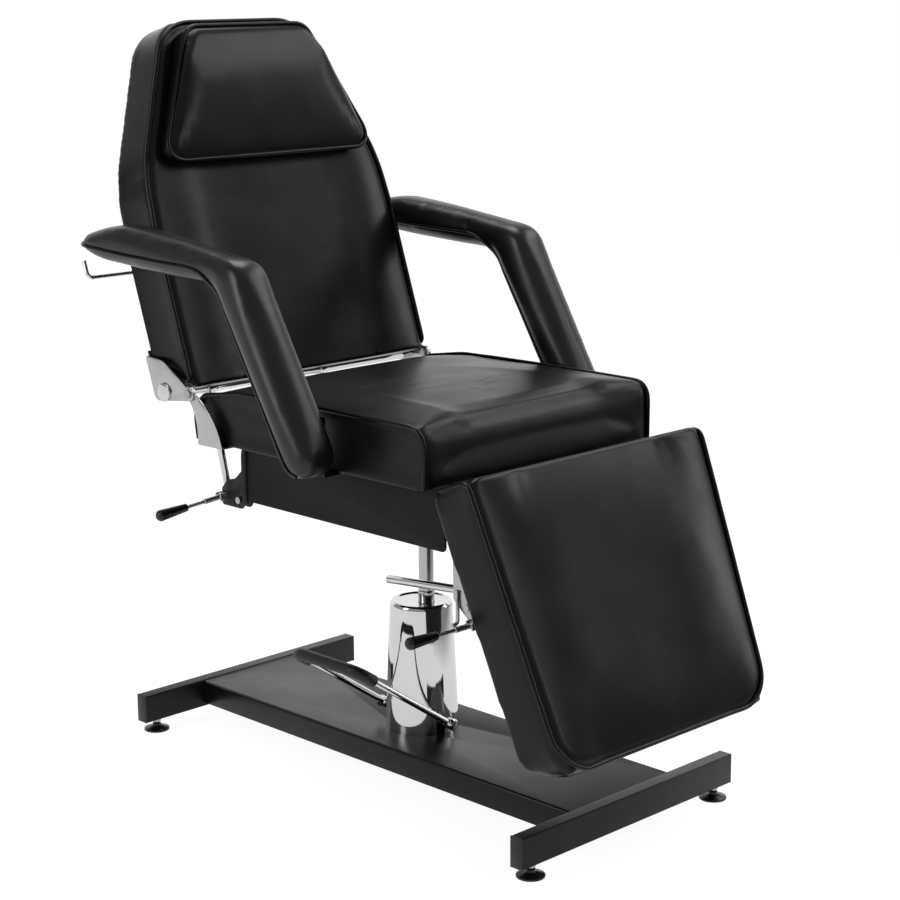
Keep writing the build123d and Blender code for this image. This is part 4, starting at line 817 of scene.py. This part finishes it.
slot_cutter.scale = (shaft_high[0] - shaft_low[0] + 0.004, 0.30, slot_top - plate_top + 0.01)
settle(slot_cutter)
cut_out(pump_cover, slot_cutter)
smooth(pump_cover, 40)
fit_on(pump_cover, "base", "bright_chrome", chrome, "pump_cover")

rod_low, rod_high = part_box("piston_rod")
bpy.ops.mesh.primitive_cylinder_add(vertices=64, radius=(rod_high[0] - rod_low[0]) / 2,
                                    depth=rod_high[2] - rod_low[2],
                                    location=(0, -column_lead, (rod_low[2] + rod_high[2]) / 2))
ram = bpy.context.active_object
ram.name = "piston_rod_ground"
settle(ram)
smooth(ram, 40)
fit_on(ram, "piston", "bright_chrome", ram_steel, "piston_rod")

plain_finish = {
    "pump_cylinder": powder, "pump_bolts": zinc, "foot_lock_nuts": zinc, "pedal_shaft": zinc,
    "swivel_hub": powder, "swivel_nut": zinc, "bearing_housing": powder, "swivel_rails": powder,
    "cross_tubes": powder, "seat_board": lining, "back_board": lining, "leg_board": lining,
    "hinge_pins": zinc, "seat_screws": zinc, "armrest_brackets": powder, "armrest_bolts": zinc,
    "clamp_bolts": zinc, "leg_hinge_seat_leaves": powder, "leg_hinge_leaves": powder,
    "back_screws": zinc, "leg_rod_bracket": powder, "leg_rod_pin": zinc}
for node, material in plain_finish.items():
    parts[node].data.materials.clear()
    parts[node].data.materials.append(material)


# Room, light and camera
def studio_white(name, share, level):
    """White sweep that keeps a light shadow; bright metal sees it dim towards the sitter's left."""
    material, tree, shader = blank(name)
    shader.inputs["Base Color"].default_value = linear("#e6e6e6")
    shader.inputs["Roughness"].default_value = 0.9
    ray = add(tree, "ShaderNodeLightPath")
    place = add(tree, "ShaderNodeTexCoord").outputs["Object"]
    across = add(tree, "ShaderNodeVectorMath", {0: place, 1: (1.0, -0.9, 0.0)}, operation="DOT_PRODUCT")
    mirrored = add(tree, "ShaderNodeMapRange", {"Value": across.outputs["Value"], "From Min": 1.35,
                                                "From Max": 2.5, "To Min": 0.90, "To Max": 0.15})
    seen = add(tree, "ShaderNodeMix", {"Factor": ray.outputs["Is Camera Ray"],
                                       "A": mirrored.outputs["Result"], "B": level})
    glow = add(tree, "ShaderNodeEmission", {"Color": (1, 1, 1, 1), "Strength": seen.outputs["Result"]})
    either = add(tree, "ShaderNodeMath", {0: ray.outputs["Is Camera Ray"], 1: ray.outputs["Is Glossy Ray"]},
                 operation="MAXIMUM")
    part = add(tree, "ShaderNodeMath", {0: either.outputs["Value"], 1: share}, operation="MULTIPLY")
    mixed = add(tree, "ShaderNodeMixShader", {0: part.outputs["Value"], 1: shader.outputs["BSDF"],
                                              2: glow.outputs["Emission"]})
    join(tree, mixed.outputs["Shader"], tree.nodes["Material Output"].inputs["Surface"])
    return material


def lit_card(name, level):
    """Evenly lit white card."""
    material, tree, _ = blank(name)
    glow = add(tree, "ShaderNodeEmission", {"Color": (1, 1, 1, 1), "Strength": level})
    join(tree, glow.outputs["Emission"], tree.nodes["Material Output"].inputs["Surface"])
    return material


bpy.ops.object.select_all(action="DESELECT")
bpy.ops.mesh.primitive_plane_add(size=400, location=(0, 0, 0))
floor = bpy.context.active_object
floor.name = "studio_floor"
floor.data.materials.append(studio_white("studio_white", 0.80, 1.17))

# A card stands 5 m behind the chair, for level faces to mirror at a low angle
bpy.ops.object.select_all(action="DESELECT")
bpy.ops.mesh.primitive_plane_add(size=1, location=(0, 0, 0))
card = bpy.context.active_object
card.name = "studio_card"
card.scale = (15, 4.5, 1)
card.rotation_euler = (math.pi / 2, 0, camera_azimuth)
card.location = (3.52, 3.55, 2.25)
settle(card)
card.data.materials.append(lit_card("lit_card", 1.0))
card.visible_camera = False               # so that the chair can be looked at from behind too

world = bpy.data.worlds.new("studio_air")
bpy.context.scene.world = world
world.use_nodes = True
air = world.node_tree
air.nodes["Background"].inputs["Color"].default_value = (1, 1, 1, 1)
air_ray = add(air, "ShaderNodeLightPath")
air_glossy = add(air, "ShaderNodeMapRange", {"Value": air_ray.outputs["Is Glossy Ray"], "To Min": 0.40,
                                             "To Max": 0.30})
air_level = add(air, "ShaderNodeMath", {0: air_ray.outputs["Is Camera Ray"],
                                        1: air_glossy.outputs["Result"]}, operation="MAXIMUM")
join(air, air_level.outputs["Value"], air.nodes["Background"].inputs["Strength"])


def soft_box(name, place, aim, wide, high, power):
    """Rectangular lamp turned towards a point."""
    bpy.ops.object.light_add(type="AREA", location=place)
    lamp = bpy.context.active_object
    lamp.name = name
    lamp.data.shape = "RECTANGLE"
    lamp.data.size = wide
    lamp.data.size_y = high
    lamp.data.energy = power
    lamp.rotation_euler = (Vector(aim) - Vector(place)).to_track_quat("-Z", "Y").to_euler()
    return lamp


soft_box("top_box", (0.5, 0.9, 3.4), (0, 0, 0.7), 1.6, 1.6, 30)
soft_box("high_box", (4.0, -1.9, 4.9), (0, 0, 0.8), 5.0, 1.6, 75)
soft_box("right_box", (7.6, -4.8, 3.3), (0, 0, 0.8), 1.2, 5.0, 78)
soft_box("front_box", (3.9, -8.0, 3.6), (0, 0, 0.8), 1.0, 4.6, 48)
soft_box("left_box", (-3.2, 0.9, 1.9), (0, 0, 0.8), 1.0, 2.0, 26)

bpy.ops.object.camera_add(location=camera_place)
camera = bpy.context.active_object
camera.name = "photograph_view"
tilt = Euler((math.pi / 2 - camera_elevation, 0, camera_azimuth)).to_matrix()
camera.rotation_euler = (tilt @ Matrix.Rotation(camera_roll, 3, "Z")).to_euler()
camera.data.lens = camera_lens
camera.data.sensor_width = 36
camera.data.shift_x, camera.data.shift_y = camera_shift
camera.data.clip_end = 60
bpy.context.scene.camera = camera
bpy.context.scene.view_settings.view_transform = "Standard"
